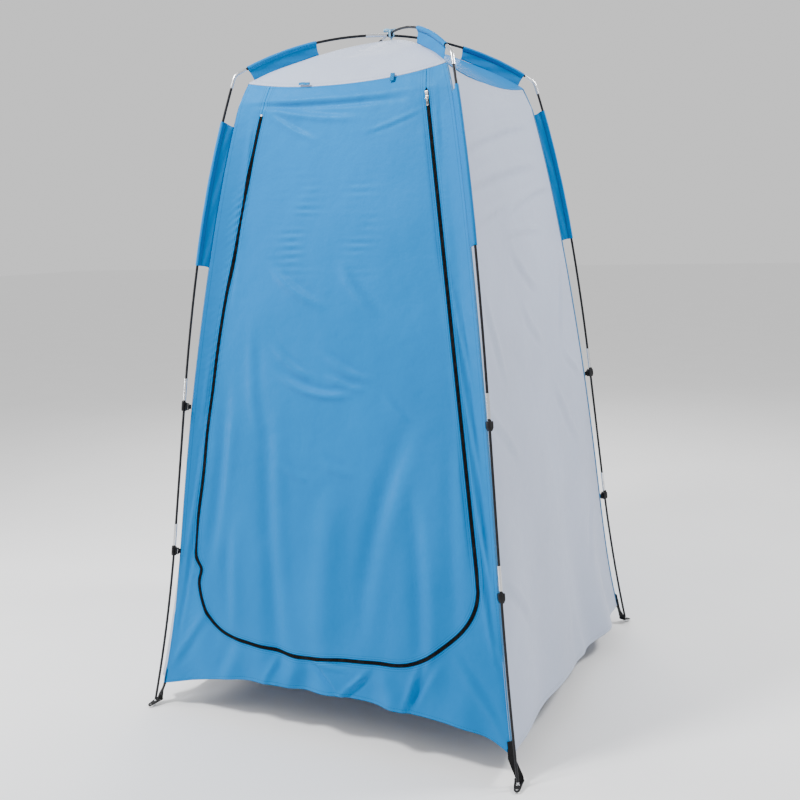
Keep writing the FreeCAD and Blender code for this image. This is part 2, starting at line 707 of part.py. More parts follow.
# ---- ties ----
def door_tie(x, width, drop):
    """A fabric tie that hangs from the eave, close in front of the leaning top of the wall."""
    lean = math.atan2(PLANE_TOP - EAVE_HALF, EAVE_HEIGHT - BAND_HEIGHT)
    flat = box((-width / 2, -drop, 0), (width / 2, 0, TIE_THICKNESS))
    flat.rotate(ZERO, AXIS_X, 90.0 - math.degrees(lean))
    height = EAVE_HEIGHT - TIE_DROP
    forward = EAVE_HALF + math.tan(lean) * TIE_DROP + TIE_GAP
    flat.translate(Vector(x, -forward, height))
    return flat


for side, (x, width, drop) in TIE_SIZES.items():
    write("door_tie_" + side, door_tie(x, width, drop))


def ring_band(low, high):
    """A flat band round the crossing, as a rectangular ring in the XZ plane."""
    around = BAND_HALF + TIE_THICKNESS
    outer = box((-around, -BAND_WIDTH / 2, low - TIE_THICKNESS),
                (around, BAND_WIDTH / 2, high + TIE_THICKNESS))
    return outer.cut(box((-BAND_HALF, -BAND_WIDTH, low), (BAND_HALF, BAND_WIDTH, high)))


def crossing_tie():
    """The tape that ties the roof's apex to the crossing: two bands, a bow and its tail."""
    low = ARCHES["a"].crossing - POLE_RADIUS - BAND_SPARE
    high = ARCHES["b"].crossing + POLE_RADIUS + BAND_SPARE
    half = BAND_WIDTH / 2
    inner = ring_band(low, high)
    outer = turned(ring_band(low - TIE_THICKNESS, high + TIE_THICKNESS), 90.0)
    root = box((-half, -half, ROOF_APEX + TIE_ROOT), (half, half, low - TIE_THICKNESS))
    middle = Vector(0, 0, high + 2 * TIE_THICKNESS + TAPE_RADIUS)
    bow = Part.makeTorus(BOW_RADIUS, TAPE_RADIUS, middle - AXIS_X * BOW_REACH, AXIS_Z)
    knot = Part.makeSphere(KNOT_RADIUS, middle)
    tail = tube(TAPE_RADIUS, 0, TAIL_LENGTH, middle, Vector(*TAIL_HEADING))
    return inner.fuse([outer, root, bow, knot, tail])


write("crossing_tie", crossing_tie())


# ---- clips ----
def clip():
    """A pole clip drawn at the origin: +X away from the tent, +Z up the pole. The hook is open
    on one flank, and a webbing loop through its slot reaches the wall's corner seam."""
    half, tip_half = CLIP_WIDTH / 2, CLIP_TIP_WIDTH / 2
    tip, shoulder, top = CLIP_HEIGHTS
    shield = [(-half, top), (half, top), (half, shoulder), (tip_half, tip), (-tip_half, tip),
              (-half, shoulder)]
    outline = Part.Face(polygon([(-CLIP_BACK, y, z) for y, z in shield]))
    body = outline.extrude(Vector(CLIP_BACK + CLIP_FRONT, 0, 0))
    nib_half = CLIP_NIB_WIDTH / 2
    nib = box((-nib_half, -nib_half, top), (CLIP_FRONT, nib_half, top + CLIP_NIB_HEIGHT))
    bar = bar_block(-CLIP_BACK - CLIP_BAR_REACH, -CLIP_BACK, *CLIP_BAR_HALF)
    rail_out = -CLIP_BACK - CLIP_BAR_REACH
    rail_in = rail_out + CLIP_RAIL
    slot = bar_block(rail_in, rail_in + CLIP_SLOT, half, CLIP_SLOT_HALF)
    bore = Part.makeCylinder(CLIP_BORE, BIG, Vector(0, 0, -BIG / 2))
    mouth = box((-CLIP_MOUTH / 2, 0, -BIG), (CLIP_MOUTH / 2, BIG, BIG))
    hook = body.fuse([nib, bar]).cut([slot, bore, mouth]).removeSplitter()
    loop = bar_block(-LOOP_END, rail_in + LOOP_SPARE + LOOP_WEBBING, *LOOP_HALF)
    inside = bar_block(rail_out - LOOP_SPARE, rail_in + LOOP_SPARE, LOOP_INSIDE, half)
    return [hook, loop.cut(inside)]


def bar_block(start, end, half_width, half_height):
    """A block about the middle of the slotted bar, between two places along X."""
    return box((start, -half_width, CLIP_BAR_MIDDLE - half_height),
               (end, half_width, CLIP_BAR_MIDDLE + half_height))


def at_station(solid, station, azimuth):
    """Places a shape drawn at the origin, +Z along the pole, at a station on a corner's leg."""
    result = solid.copy()
    result.rotate(ZERO, AXIS_Y, -math.degrees(station.lean))
    result.translate(station.point())
    return turned(result, azimuth)


for level, section in CLIP_JOINTS.items():
    below_joint = LEG[section - 1][2]
    station = LEG[section][0].along(-FERRULE_LENGTH / 2 - CLIP_GAP, below_joint)
    for corner, azimuth in CORNERS.items():
        pieces = [at_station(s, station, azimuth) for s in clip()]
        write("clip_" + level + "_" + corner, pieces)


# ---- feet ----
def foot_ring():
    """A moulded ring drawn flat about its eyelet: +X towards the peg hole, -X the strap's bar."""
    back, waist, front = RING_HALVES
    side = [Vector(-RING_BACK, back, 0), Vector(0, waist, 0), Vector(PEG_REACH, front, 0)]
    flip = [Vector(p.x, -p.y, 0) for p in reversed(side)]
    nose = Vector(PEG_REACH + front, 0, 0)
    edges = [Part.makeLine(side[0], side[1]), Part.makeLine(side[1], side[2]),
             Part.Arc(side[2], nose, flip[0]).toShape(),
             Part.makeLine(flip[0], flip[1]), Part.makeLine(flip[1], flip[2]),
             Part.makeLine(flip[2], side[0])]
    half = RING_THICKNESS / 2
    body = plate(Part.Face(Part.Wire(edges)), -half, half)
    near, far, slot_half = RING_SLOT
    slot = box((-far, -slot_half, -RING_THICKNESS), (-near, slot_half, RING_THICKNESS))
    drill = Vector(0, 0, -RING_THICKNESS)
    eyelet = Part.makeCylinder(RING_EYELET, 2 * RING_THICKNESS, drill)
    peg = Part.makeCylinder(PEG_HOLE, 2 * RING_THICKNESS, drill + AXIS_X * PEG_REACH)
    return body.cut([slot, eyelet, peg])


def placed_ring(corner):
    foot = LEG[0][0].along(RING_HEIGHT / math.cos(LEG[0][0].lean), 0.0)
    ring = foot_ring()
    ring.rotate(ZERO, AXIS_Y, RING_TILT)
    ring.rotate(ZERO, AXIS_Z, RING_HEADING[corner])
    azimuth = math.radians(CORNERS[corner])
    ring.translate(Vector(foot.out * math.cos(azimuth), foot.out * math.sin(azimuth), foot.height))
    return ring


def corner_strap():
    """The webbing sewn into a wall's bottom corner, down to just short of the foot ring."""
    seam = wall_half(HEM_HEIGHT) * ROOT2
    strap = box((0, -STRAP_WIDTH / 2, -STRAP_DROP), (STRAP_THICKNESS, STRAP_WIDTH / 2, STRAP_SEWN))
    strap.rotate(ZERO, AXIS_Y, -FOOT_LEAN)
    strap.translate(Vector(seam + FABRIC, 0, HEM_HEIGHT))
    return strap


for corner in CORNERS:
    write("foot_ring_" + corner, placed_ring(corner))
write("corner_straps", [turned(corner_strap(), a) for a in CORNERS.values()])
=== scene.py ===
import json
import math

import bmesh
import bpy
import numpy as np
from mathutils import Matrix, Vector, noise


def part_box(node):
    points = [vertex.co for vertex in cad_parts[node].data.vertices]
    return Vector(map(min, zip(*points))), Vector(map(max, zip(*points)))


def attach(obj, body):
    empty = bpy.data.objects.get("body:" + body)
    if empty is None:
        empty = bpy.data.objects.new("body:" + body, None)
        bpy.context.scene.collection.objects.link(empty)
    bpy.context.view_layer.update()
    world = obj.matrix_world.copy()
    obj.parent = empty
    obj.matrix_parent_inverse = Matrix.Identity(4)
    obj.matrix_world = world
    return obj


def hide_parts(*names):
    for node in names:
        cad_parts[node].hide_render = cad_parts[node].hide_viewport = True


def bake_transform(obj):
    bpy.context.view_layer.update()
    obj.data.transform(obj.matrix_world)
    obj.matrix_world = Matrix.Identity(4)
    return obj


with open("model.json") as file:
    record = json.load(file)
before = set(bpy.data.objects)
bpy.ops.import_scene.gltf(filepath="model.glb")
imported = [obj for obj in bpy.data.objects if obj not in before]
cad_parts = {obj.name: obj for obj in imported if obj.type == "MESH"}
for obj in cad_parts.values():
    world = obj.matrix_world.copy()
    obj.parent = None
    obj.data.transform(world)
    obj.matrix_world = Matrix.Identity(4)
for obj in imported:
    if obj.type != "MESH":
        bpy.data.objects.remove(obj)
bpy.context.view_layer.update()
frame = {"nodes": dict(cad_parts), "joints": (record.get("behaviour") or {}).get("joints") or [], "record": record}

NODES = frame["nodes"]
JOINTS = {j["name"]: j for j in frame["joints"]}
MOUNTS = {m["name"]: m for m in frame["record"]["mounts"]}
CORNERS = {"front_left": 225.0, "front_right": 315.0, "back_right": 45.0, "back_left": 135.0}
ROOT2 = math.sqrt(2.0)
Z_AXIS = Vector((0, 0, 1))
fitted = np.polynomial.Polynomial.fit


# ---- the frame's curves, read from the CAD nodes ----
def points_of(node):
    return np.array([v.co for v in NODES[node].data.vertices], float)


def corner_plane(points, azimuth):
    """Distance out and height of points, seen in the upright plane of one corner."""
    a = math.radians(azimuth)
    return points[:, 0] * math.cos(a) + points[:, 1] * math.sin(a), points[:, 2]


def leg_table():
    """Heights of a leg's middle line and its distances out."""
    heights, outs = [], []
    for part, degree in (("lower", 3), ("middle", 1), ("upper", 5)):
        out, height = corner_plane(points_of("pole_" + part + "_front_right"), CORNERS["front_right"])
        grid = np.linspace(height.min(), height.max(), 40)[1:-1]
        heights.extend(grid)
        outs.extend(fitted(height, out, degree)(grid))
    return heights, outs


LEG = leg_table()
ARCHES = {c: fitted(*corner_plane(points_of("pole_roof_" + c), CORNERS[c]), 4) for c in CORNERS}

BAND = 1.7                       # height where the walls' top band begins
HEM, EAVE = (corner.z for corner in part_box("right_wall"))
EAVE_HALF, _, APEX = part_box("roof_front")[1]
MITRED = 2e-4                    # how near to the mitre a point counts as part of the seam


def seam_powers():
    """The walls' corner seam as a polynomial, height to half width."""
    p = points_of("right_wall")
    edge = p[(np.abs(np.abs(p[:, 1]) - p[:, 0]) < MITRED) & (p[:, 2] <= BAND + 1e-4)]
    return fitted(edge[:, 2], edge[:, 0], 5).convert().coef.tolist()


def ridge_fit():
    """The roof's ridge, distance out to height."""
    p = points_of("roof_front")
    edge = p[np.abs(np.abs(p[:, 0]) + p[:, 1]) < MITRED]
    return fitted(np.hypot(edge[:, 0], edge[:, 1]), edge[:, 2], 3)


RIDGE = ridge_fit()
SEAM_POWERS = seam_powers()
PLANE_POWERS = fitted(*points_of("door_panel").T[[2, 1]], 1).convert().coef.tolist()
TILT = math.atan(abs(PLANE_POWERS[1]))
COS = math.cos(TILT)
NORMAL = Vector((0, -COS, math.sin(TILT)))


# ---- curves and noise ----
def smooth(x, low, high):
    t = min(max((x - low) / (high - low), 0.0), 1.0)
    return t * t * (3 - 2 * t)


def bump(x, middle, width):
    return math.exp(-((x - middle) / width) ** 2)


def wave(x, y, z, scale):
    return noise.noise(Vector((x * scale, y * scale, z * scale)))


def horner(powers, x):
    """The value of a polynomial, given its lowest power first."""
    total = 0.0
    for c in reversed(powers):
        total = total * x + c
    return total


BAND_HALF = horner(SEAM_POWERS, BAND)


def seam_half(height):
    """Half the width between the corner seams."""
    if height <= BAND:
        return horner(SEAM_POWERS, height)
    share = (height - BAND) / (EAVE - BAND)
    return BAND_HALF * (1 - share) + EAVE_HALF * share


def creased(a, b, creases):
    """The relief of a list of creases at (a, b): each runs from (a0, b0) to (a1, b1), bowed to one
    side, as a ridge with a shallower valley beside it that fades out at both ends."""
    total = 0.0
    for a0, b0, a1, b1, bow, width, height in creases:
        run_a, run_b = a1 - a0, b1 - b0
        size = math.hypot(run_a, run_b)
        t = ((a - a0) * run_a + (b - b0) * run_b) / (size * size)
        if not -0.3 < t < 1.3:
            continue
        q = (((a - a0) * run_b - (b - b0) * run_a) / size + bow * 4 * t * (1 - t)) / width
        if abs(q) > 4:
            continue
        fade = smooth(t, -0.25, 0.3) * (1 - smooth(t, 0.7, 1.25))
        total += height * fade * (math.exp(-q * q) - 0.5 * math.exp(-(q - 1.6) ** 2))
    return total


def eave_height(u, droop):
    """The eave is held up at its corners and sags between them; u runs from -1 to 1."""
    return EAVE + 0.008 * abs(u) ** 3 - droop * (1 - u * u)


def mm(*rows):
    """Rows of millimetres as metres."""
    return [tuple(value / 1000 for value in row) for row in rows]


def even(low, high, count):
    return [low + (high - low) * i / count for i in range(count + 1)]


def turn(point, degrees):
    return Matrix.Rotation(math.radians(degrees), 4, "Z") @ Vector(point)


# ---- mesh helpers ----
def new_mesh(name, vertices, faces, material, uvs=None):
    mesh = bpy.data.meshes.new(name)
    mesh.from_pydata([tuple(v) for v in vertices], [], faces)
    for layer, values in (uvs or {}).items():
        data = mesh.uv_layers.new(name=layer).data
        for loop in mesh.loops:
            data[loop.index].uv = values[loop.vertex_index]
    mesh.validate()
    mesh.materials.append(material)
    mesh.polygons.foreach_set("use_smooth", [True] * len(mesh.polygons))
    return placed(name, mesh)


def placed(name, data):
    obj = bpy.data.objects.new(name, data)
    bpy.context.collection.objects.link(obj)
    return obj


def grid_faces(rows, columns, closed=False):
    faces = []
    for r in range(0, (rows - 1) * columns, columns):
        for c in range(columns if closed else columns - 1):
            d = (c + 1) % columns
            faces.append((r + c, r + d, r + columns + d, r + columns + c))
    return faces


def tube_faces(rows, columns):
    """The faces of rings joined into a tube with both ends shut."""
    last = (rows - 1) * columns
    return grid_faces(rows, columns, True) + [tuple(reversed(range(columns))), tuple(range(last, last + columns))]


def sheet_mesh(name, grid, layers, material, thickness=0.0007):
    """A cloth from rows of (point, a uv for each layer), given its thickness by a modifier."""
    flat = [vertex for row in grid for vertex in row]
    uvs = {layer: [vertex[i] for vertex in flat] for i, layer in enumerate(layers, 1)}
    obj = new_mesh(name, [vertex[0] for vertex in flat], grid_faces(len(grid), len(grid[0])), material, uvs)
    solid = obj.modifiers.new("thickness", "SOLIDIFY")
    solid.thickness = thickness
    solid.offset = 0.0
    return obj


def join(name, objects):
    """Makes one piece out of several meshes of the same material."""
    work = bmesh.new()
    for obj in objects:
        work.from_mesh(obj.data)
    mesh = bpy.data.meshes.new(name)
    work.to_mesh(mesh)
    work.free()
    mesh.materials.append(objects[0].data.materials[0])
    for obj in objects:
        bpy.data.objects.remove(obj)
    return placed(name, mesh)


def tube_mesh(name, path, radius, sides, material, flatten=1.0, up=Z_AXIS, closed=False):
    """A round rod along a path, or one flattened along up."""
    rings = []
    count = len(path)
    for i, p in enumerate(path):
        ahead = path[(i + 1) % count] if closed or i < count - 1 else p
        behind = path[i - 1] if closed or i > 0 else p
        along = (ahead - behind).normalized()
        side = along.cross(up).normalized()
        out = side.cross(along).normalized()
        for k in range(sides):
            a = 2 * math.pi * k / sides
            rings.append(p + side * (radius * math.cos(a)) + out * (radius * flatten * math.sin(a)))
    if not closed:
        return new_mesh(name, rings, tube_faces(count, sides), material)
    faces = grid_faces(count, sides, closed=True)
    last = (count - 1) * sides
    faces += [(last + k, last + (k + 1) % sides, (k + 1) % sides, k) for k in range(sides)]
    return new_mesh(name, rings, faces, material)


TAPE_SECTION = [(-0.5, -0.3), (-0.47, -0.5), (0.47, -0.5), (0.5, -0.3),
                (0.5, 0.3), (0.47, 0.5), (-0.47, 0.5), (-0.5, 0.3)]


def ribbon(name, path, across, width, thickness, material):
    """A flat tape along a path; across is the direction of its width, one or one per point."""
    vertices, flat = [], []
    last = len(path) - 1
    run = 0.0
    for i, p in enumerate(path):
        run += (p - path[i - 1]).length if i else 0.0
        along = (path[min(i + 1, last)] - path[max(i - 1, 0)]).normalized()
        out = (across[i] if isinstance(across, list) else across).cross(along).normalized()
        side = along.cross(out).normalized()
        for a, b in TAPE_SECTION:
            vertices.append(p + side * (a * width) + out * (b * thickness))
            flat.append((a * width, run))
    uvs = {"cloth": flat, "rim": [(0.5 * width - abs(x), y) for x, y in flat]}
    return new_mesh(name, vertices, tube_faces(last + 1, len(TAPE_SECTION)), material, uvs)


def eased(points, count):
    """A smooth path through points."""
    result = []
    pts = [Vector(p) for p in points]
    for i in range(len(pts) - 1):
        before = pts[i - 1] if i else pts[i] * 2 - pts[i + 1]
        after = pts[i + 2] if i + 2 < len(pts) else pts[i + 1] * 2 - pts[i]
        for k in range(count):
            t = k / count
            result.append(0.5 * (2 * pts[i] + (pts[i + 1] - before) * t
                                 + (2 * before - 5 * pts[i] + 4 * pts[i + 1] - after) * t * t
                                 + (3 * pts[i] - before - 3 * pts[i + 1] + after) * t ** 3))
    result.append(pts[-1])
    return result


def plate(outlines, half, round_edge, material, matrix, name="plate"):
    """A flat moulded plate from an outline and its holes, with rounded edges."""
    curve = bpy.data.curves.new(name, "CURVE")
    curve.dimensions = "2D"
    curve.fill_mode = "BOTH"
    for outline in outlines:
        spline = curve.splines.new("POLY")
        spline.points.add(len(outline) - 1)
        for point, (x, y) in zip(spline.points, outline):
            point.co = (x, y, 0, 1)
        spline.use_cyclic_u = True
    curve.extrude = half - round_edge
    curve.bevel_depth = round_edge
    curve.bevel_resolution = 2
    curve.offset = -round_edge
    obj = placed(name, curve)
    graph = bpy.context.evaluated_depsgraph_get()
    mesh = bpy.data.meshes.new_from_object(obj.evaluated_get(graph))
    bpy.data.objects.remove(obj)
    mesh.transform(matrix)
    mesh.materials.clear()
    mesh.materials.append(material)
    work = bmesh.new()
    work.from_mesh(mesh)
    bmesh.ops.remove_doubles(work, verts=work.verts, dist=1e-6)
    work.to_mesh(mesh)
    work.free()
    mesh.polygons.foreach_set("use_smooth", [True] * len(mesh.polygons))
    mesh.set_sharp_from_angle(angle=math.radians(35))
    return placed(name, mesh)


def arc_points(x, y, radius, start, end, count):
    angles = [math.radians(a) for a in even(start, end, count)]
    return [(x + radius * math.cos(a), y + radius * math.sin(a)) for a in angles]


def rounded(x0, y0, x1, y1, r):
    """A rectangle with round corners."""
    return (arc_points(x1 - r, y1 - r, r, 0, 90, 5) + arc_points(x0 + r, y1 - r, r, 90, 180, 5)
            + arc_points(x0 + r, y0 + r, r, 180, 270, 5) + arc_points(x1 - r, y0 + r, r, 270, 360, 5))


def frame_matrix(x_axis, y_axis, z_axis, place):
    m = Matrix((x_axis, y_axis, z_axis)).transposed().to_4x4()
    m.translation = place
    return m


def fit(piece, node, slot, body):
    """Hides the CAD node a piece stands for and attaches the piece to the body it moves with. The slot argument is
    not used.
    """
    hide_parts(node)
    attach(piece, body)


# ---- materials ----
class Shader:
    """A material and the nodes that feed it."""

    def __init__(self, name, base, **constants):
        self.material = bpy.data.materials.new(name)
        self.material.use_nodes = True
        self.tree = self.material.node_tree
        self.surface = self.tree.nodes["Principled BSDF"]
        self.surface.inputs["Base Color"].default_value = (*base, 1)
        for key, value in constants.items():
            self.surface.inputs[key.replace("_", " ")].default_value = value

    def node(self, kind, inputs, output=0, **settings):
        """Adds a node; an input takes another node's output or a constant."""
        node = self.tree.nodes.new("ShaderNode" + kind)
        for key, value in settings.items():
            setattr(node, key, value)
        for key, value in inputs.items():
            if isinstance(value, bpy.types.NodeSocket):
                self.tree.links.new(value, node.inputs[key])
            else:
                node.inputs[key].default_value = value
        return node.outputs[output]

    def math(self, operation, a, b=0.0):
        return self.node("Math", {0: a, 1: b}, operation=operation)

    def near(self, value, middle):
        return self.math("ABSOLUTE", self.math("SUBTRACT", value, middle))

    def sine(self, value, turns):
        return self.math("SINE", self.math("MULTIPLY", value, turns))

    def split(self, layer):
        """The two coordinates of a uv layer, and the layer itself."""
        flat = self.node("UVMap", {}, uv_map=layer)
        x = self.node("SeparateXYZ", {0: flat})
        return x, x.node.outputs[1], flat

    def noise(self, vector, scale, detail=3.0, roughness=0.5):
        inputs = {"Vector": vector, "Scale": scale, "Detail": detail, "Roughness": roughness}
        return self.node("TexNoise", inputs, "Fac")

    def mix(self, factor, a, b):
        return self.node("Mix", {0: factor, 6: a, 7: b}, 2, data_type="RGBA")

    def range(self, value, low, high, out_low, out_high):
        return self.node("MapRange", dict(enumerate((value, low, high, out_low, out_high))))

    def bump(self, height, distance, strength, under=None):
        inputs = {"Height": height, "Distance": distance, "Strength": strength}
        if under:
            inputs["Normal"] = under
        return self.node("Bump", inputs)

    def place(self):
        return self.node("TexCoord", {}, "Object")

    def drawn(self, squeeze):
        """Object coordinates drawn out along the object's height."""
        return self.node("Mapping", {"Vector": self.place(), "Scale": (1, 1, squeeze)})

    def finish(self, color, normal=None, rough=None):
        for key, value in (("Base Color", color), ("Normal", normal), ("Roughness", rough)):
            if value:
                self.tree.links.new(value, self.surface.inputs[key])
        return self.material


def tinted(base, factor):
    return (*[min(1.0, c * factor) for c in base], 1)


def lighter(base, red, blue):
    return (base[0] + red, base[1] + red, base[2] + blue, 1)


def cloth(name, base, lines=(), gloss=(0.12, 0.60, 1.0, 1), sheen=0.0, roughness=0.5, crinkle=1.0):
    """Coated polyester: plain weave, soft crinkles, and dashed stitch lines beside chosen edges.
    A line is (uv layer, distance from that edge, half width, tint)."""
    s = Shader(name, base, Roughness=roughness, Specular_IOR_Level=0.16, Specular_Tint=gloss,
               Sheen_Weight=sheen, Sheen_Roughness=0.45)
    across, along, flat = s.split("cloth")
    color = s.mix(s.range(s.noise(flat, 2.2, 2.0), 0.3, 0.7, 0.0, 1.0), tinted(base, 0.93), tinted(base, 1.05))
    color = s.mix(s.range(s.noise(flat, 900.0, 1.0), 0.35, 0.65, 0.0, 0.10), color, tinted(base, 0.75))
    scuff = s.range(s.noise(flat, 14.0, 4.0, 0.65), 0.62, 0.75, 0.0, 0.10)
    color = s.mix(scuff, color, tinted(base, 0.82))
    weave = s.math("MULTIPLY", s.sine(across, 7400.0), s.sine(along, 7400.0))
    height = s.math("MULTIPLY", weave, 0.02)
    for layer, distance, half, tint in lines:
        edge, run, _ = s.split(layer)
        beside = s.near(edge, distance)
        dash = s.math("LESS_THAN", s.math("FRACT", s.math("MULTIPLY", run, 240.0)), 0.72)
        stitch = s.math("MULTIPLY", s.math("LESS_THAN", beside, half), dash)
        color = s.mix(stitch, color, tinted(base, tint))
        height = s.math("ADD", height, s.range(beside, 0.0, 0.0022, -0.35, 0.0))
    normal = s.bump(height, 0.0006, 0.5)
    normal = s.bump(s.noise(flat, 26.0, 3.0, 0.6), 0.0035 * crinkle, 0.55, normal)
    normal = s.bump(s.noise(flat, 7.0, 2.0, 0.5), 0.010 * crinkle, 0.5, normal)
    rough = s.range(s.noise(flat, 40.0, 2.0), 0.3, 0.7, roughness - 0.05, roughness + 0.08)
    return s.finish(color, normal, rough)


def steel(name, base, roughness):
    """Plated steel with fine drawn lines and rubbed patches."""
    s = Shader(name, base, Roughness=roughness, Metallic=1.0)
    lines = s.noise(s.drawn(0.06), 900.0, 2.0)
    patch = s.noise(s.place(), 60.0, 4.0, 0.6)
    color = s.mix(s.range(patch, 0.45, 0.75, 0.0, 0.5), (*base, 1), tinted(base, 0.7))
    rough = s.range(patch, 0.3, 0.8, roughness - 0.08, roughness + 0.18)
    return s.finish(color, s.bump(lines, 0.00008, 0.6), rough)


def plastic(name, base, roughness, grain, depth, shine=0.5):
    """Moulded plastic with a fine grain and lighter rubbed spots."""
    s = Shader(name, base, Roughness=roughness, Specular_IOR_Level=shine)
    place = s.place()
    patch = s.noise(place, 45.0, 4.0, 0.6)
    color = s.mix(s.range(patch, 0.5, 0.8, 0.0, 0.6), (*base, 1), lighter(base, 0.03, 0.032))
    rough = s.range(patch, 0.3, 0.8, roughness - 0.06, roughness + 0.14)
    return s.finish(color, s.bump(s.noise(place, grain, 2.0), depth, 0.7), rough)


def wrapped_rod(name, base):
    """Black fibreglass rod: long fibres under a thin gloss coat."""
    s = Shader(name, base, Roughness=0.34, Specular_IOR_Level=0.2, Coat_Weight=0.05)
    fibre = s.noise(s.drawn(0.03), 1400.0, 2.0)
    patch = s.noise(s.place(), 22.0, 4.0, 0.65)
    color = s.mix(s.range(fibre, 0.35, 0.7, 0.0, 0.6), (*base, 1), lighter(base, 0.025, 0.03))
    return s.finish(color, s.bump(fibre, 0.00012, 0.6), s.range(patch, 0.35, 0.75, 0.30, 0.50))


def webbing(name, base, pitch):
    """Woven tape: diagonal ribs across it, with painted shade in the hollows between them and painted highlight on
    their crests.
    """
    s = Shader(name, base, Roughness=0.75, Specular_IOR_Level=0.15, Sheen_Weight=0.06)
    across, along, flat = s.split("cloth")
    height = s.math("MULTIPLY", s.sine(along, 2 * math.pi / pitch), s.sine(across, 2 * math.pi / (pitch * 0.9)))
    # Colour follows the ribs' height: painted shade in the hollows between ribs, painted highlight on their crests.
    color = s.mix(s.range(height, -1.0, 1.0, 0.0, 1.0), tinted(base, 0.6), tinted(base, 1.5))
    color = s.mix(s.range(s.noise(flat, 90.0), 0.5, 0.8, 0.0, 0.35), color, tinted(base, 2.0))
    return s.finish(color, s.bump(height, 0.0003, 0.8))


BLUE = (0.0, 0.172, 0.470)
GREY = (0.43, 0.485, 0.62)
BLACK = (0.004, 0.004, 0.005)
STITCHES = [("rim", 0.009, 0.0006, 0.6)]
M_FRONT = cloth("blue_front", BLUE, [("zip", 0.0095, 0.0008, 0.50), ("zip", 0.0155, 0.0006, 0.66)] + STITCHES)
M_BLUE = cloth("blue_wall", BLUE, STITCHES)
M_GREY = cloth("grey_wall", GREY, [("rim", 0.009, 0.0006, 0.7), ("rim", 0.013, 0.0005, 0.75)],
               (0.9, 0.93, 1.0, 1), 0.12, 0.46)
M_SLEEVE = cloth("blue_sleeve", tinted(BLUE, 0.95)[:3], [("rim", 0.004, 0.0005, 0.6)], crinkle=0.7)
M_FRONT_EDGE = cloth("blue_edge", tinted(BLUE, 0.9)[:3], crinkle=0.3)
M_BINDING = cloth("blue_binding", (0.022, 0.16, 0.36), [("rim", 0.002, 0.0004, 0.5)], crinkle=0.4)
M_TIE = webbing("tie_tape", (0.20, 0.45, 0.68), 0.0011)
M_DOOR_TIE = webbing("door_tie_tape", (0.0, 0.17, 0.42), 0.0011)
M_WEBBING = webbing("black_webbing", (0.006, 0.006, 0.007), 0.0016)
M_STEEL = steel("plated_steel", (0.72, 0.73, 0.75), 0.24)
M_POLE = wrapped_rod("black_fibreglass", BLACK)
M_PLASTIC = plastic("black_plastic", BLACK, 0.45, 700.0, 0.00012, 0.3)
M_COIL = plastic("black_coil", (0.001, 0.001, 0.0015), 0.5, 1600.0, 0.00005, 0.14)
M_TAPE = webbing("zip_tape", BLACK, 0.0009)
M_SLIDER = steel("slider_nickel", (0.52, 0.52, 0.51), 0.26)
M_STOP = plastic("zip_stop", (0.62, 0.64, 0.66), 0.35, 1200.0, 0.00004)
M_ELASTIC = webbing("elastic_cord", (0.7, 0.7, 0.68), 0.0012)


# ---- front wall and door ----
# Their shared drawing plane: x across, and down the slope from the height where the wall's top
# band begins; a negative down is the band, up to the eave.
DOOR_TOP_LEFT, DOOR_TOP_RIGHT = -0.232, 0.248
SIDE_END, SIDE_HALF, CORNER_RADIUS, LEFT_BOW = 1.251, 0.433, 0.240, 0.030
ARC_MIDDLE = SIDE_HALF - CORNER_RADIUS
BOTTOM = SIDE_END + CORNER_RADIUS
ZIP_END_LEFT, ZIP_END_RIGHT = 0.036, 0.008
BAND_DOWN = BAND - EAVE
HEM_DOWN = (BAND - HEM) / COS
FRONT_DROOP = 0.018

# Creases of the front wall, in its drawing plane: x0, down0, x1, down1, bow, width, height.
FRONT_CREASES = [
    (-0.225, 0.012, 0.140, 0.022, 0.004, 0.008, -0.0065), (-0.222, 0.022, 0.030, 0.062, 0.006, 0.009, 0.0049),
    (-0.218, 0.032, -0.090, 0.105, 0.004, 0.008, 0.0038), (0.222, 0.060, 0.095, 0.098, -0.003, 0.005, 0.0032),
    (-0.190, 0.455, -0.055, 0.545, 0.008, 0.014, 0.0067), (0.020, 0.450, 0.115, 0.560, 0.006, 0.014, 0.0058),
    (-0.175, 0.670, -0.075, 0.738, 0.006, 0.010, 0.0061), (-0.155, 0.745, 0.035, 0.785, 0.016, 0.011, 0.0072),
    (-0.015, 0.685, 0.095, 0.738, 0.006, 0.010, 0.0052), (-0.010, 0.735, 0.085, 0.768, 0.005, 0.009, 0.0043),
    (0.160, 0.780, 0.220, 0.835, 0.004, 0.009, 0.0035), (-0.140, 0.985, -0.080, 1.015, 0.004, 0.010, 0.0032),
    (-0.020, 0.965, 0.050, 0.990, 0.004, 0.012, 0.0035), (-0.260, 0.640, -0.235, 0.900, 0.006, 0.016, 0.0041),
    (-0.040, 1.503, 0.070, 1.512, 0.003, 0.006, 0.0045), (0.130, 1.505, 0.050, 1.585, 0.0, 0.008, 0.0075),
    (-0.030, 1.512, 0.042, 1.582, 0.0, 0.008, -0.0060), (0.275, 1.470, 0.235, 1.600, 0.0, 0.009, 0.0080),
    (0.325, 1.450, 0.255, 1.575, 0.0, 0.009, -0.0060), (-0.150, 1.510, -0.190, 1.590, 0.0, 0.010, 0.0045),
]
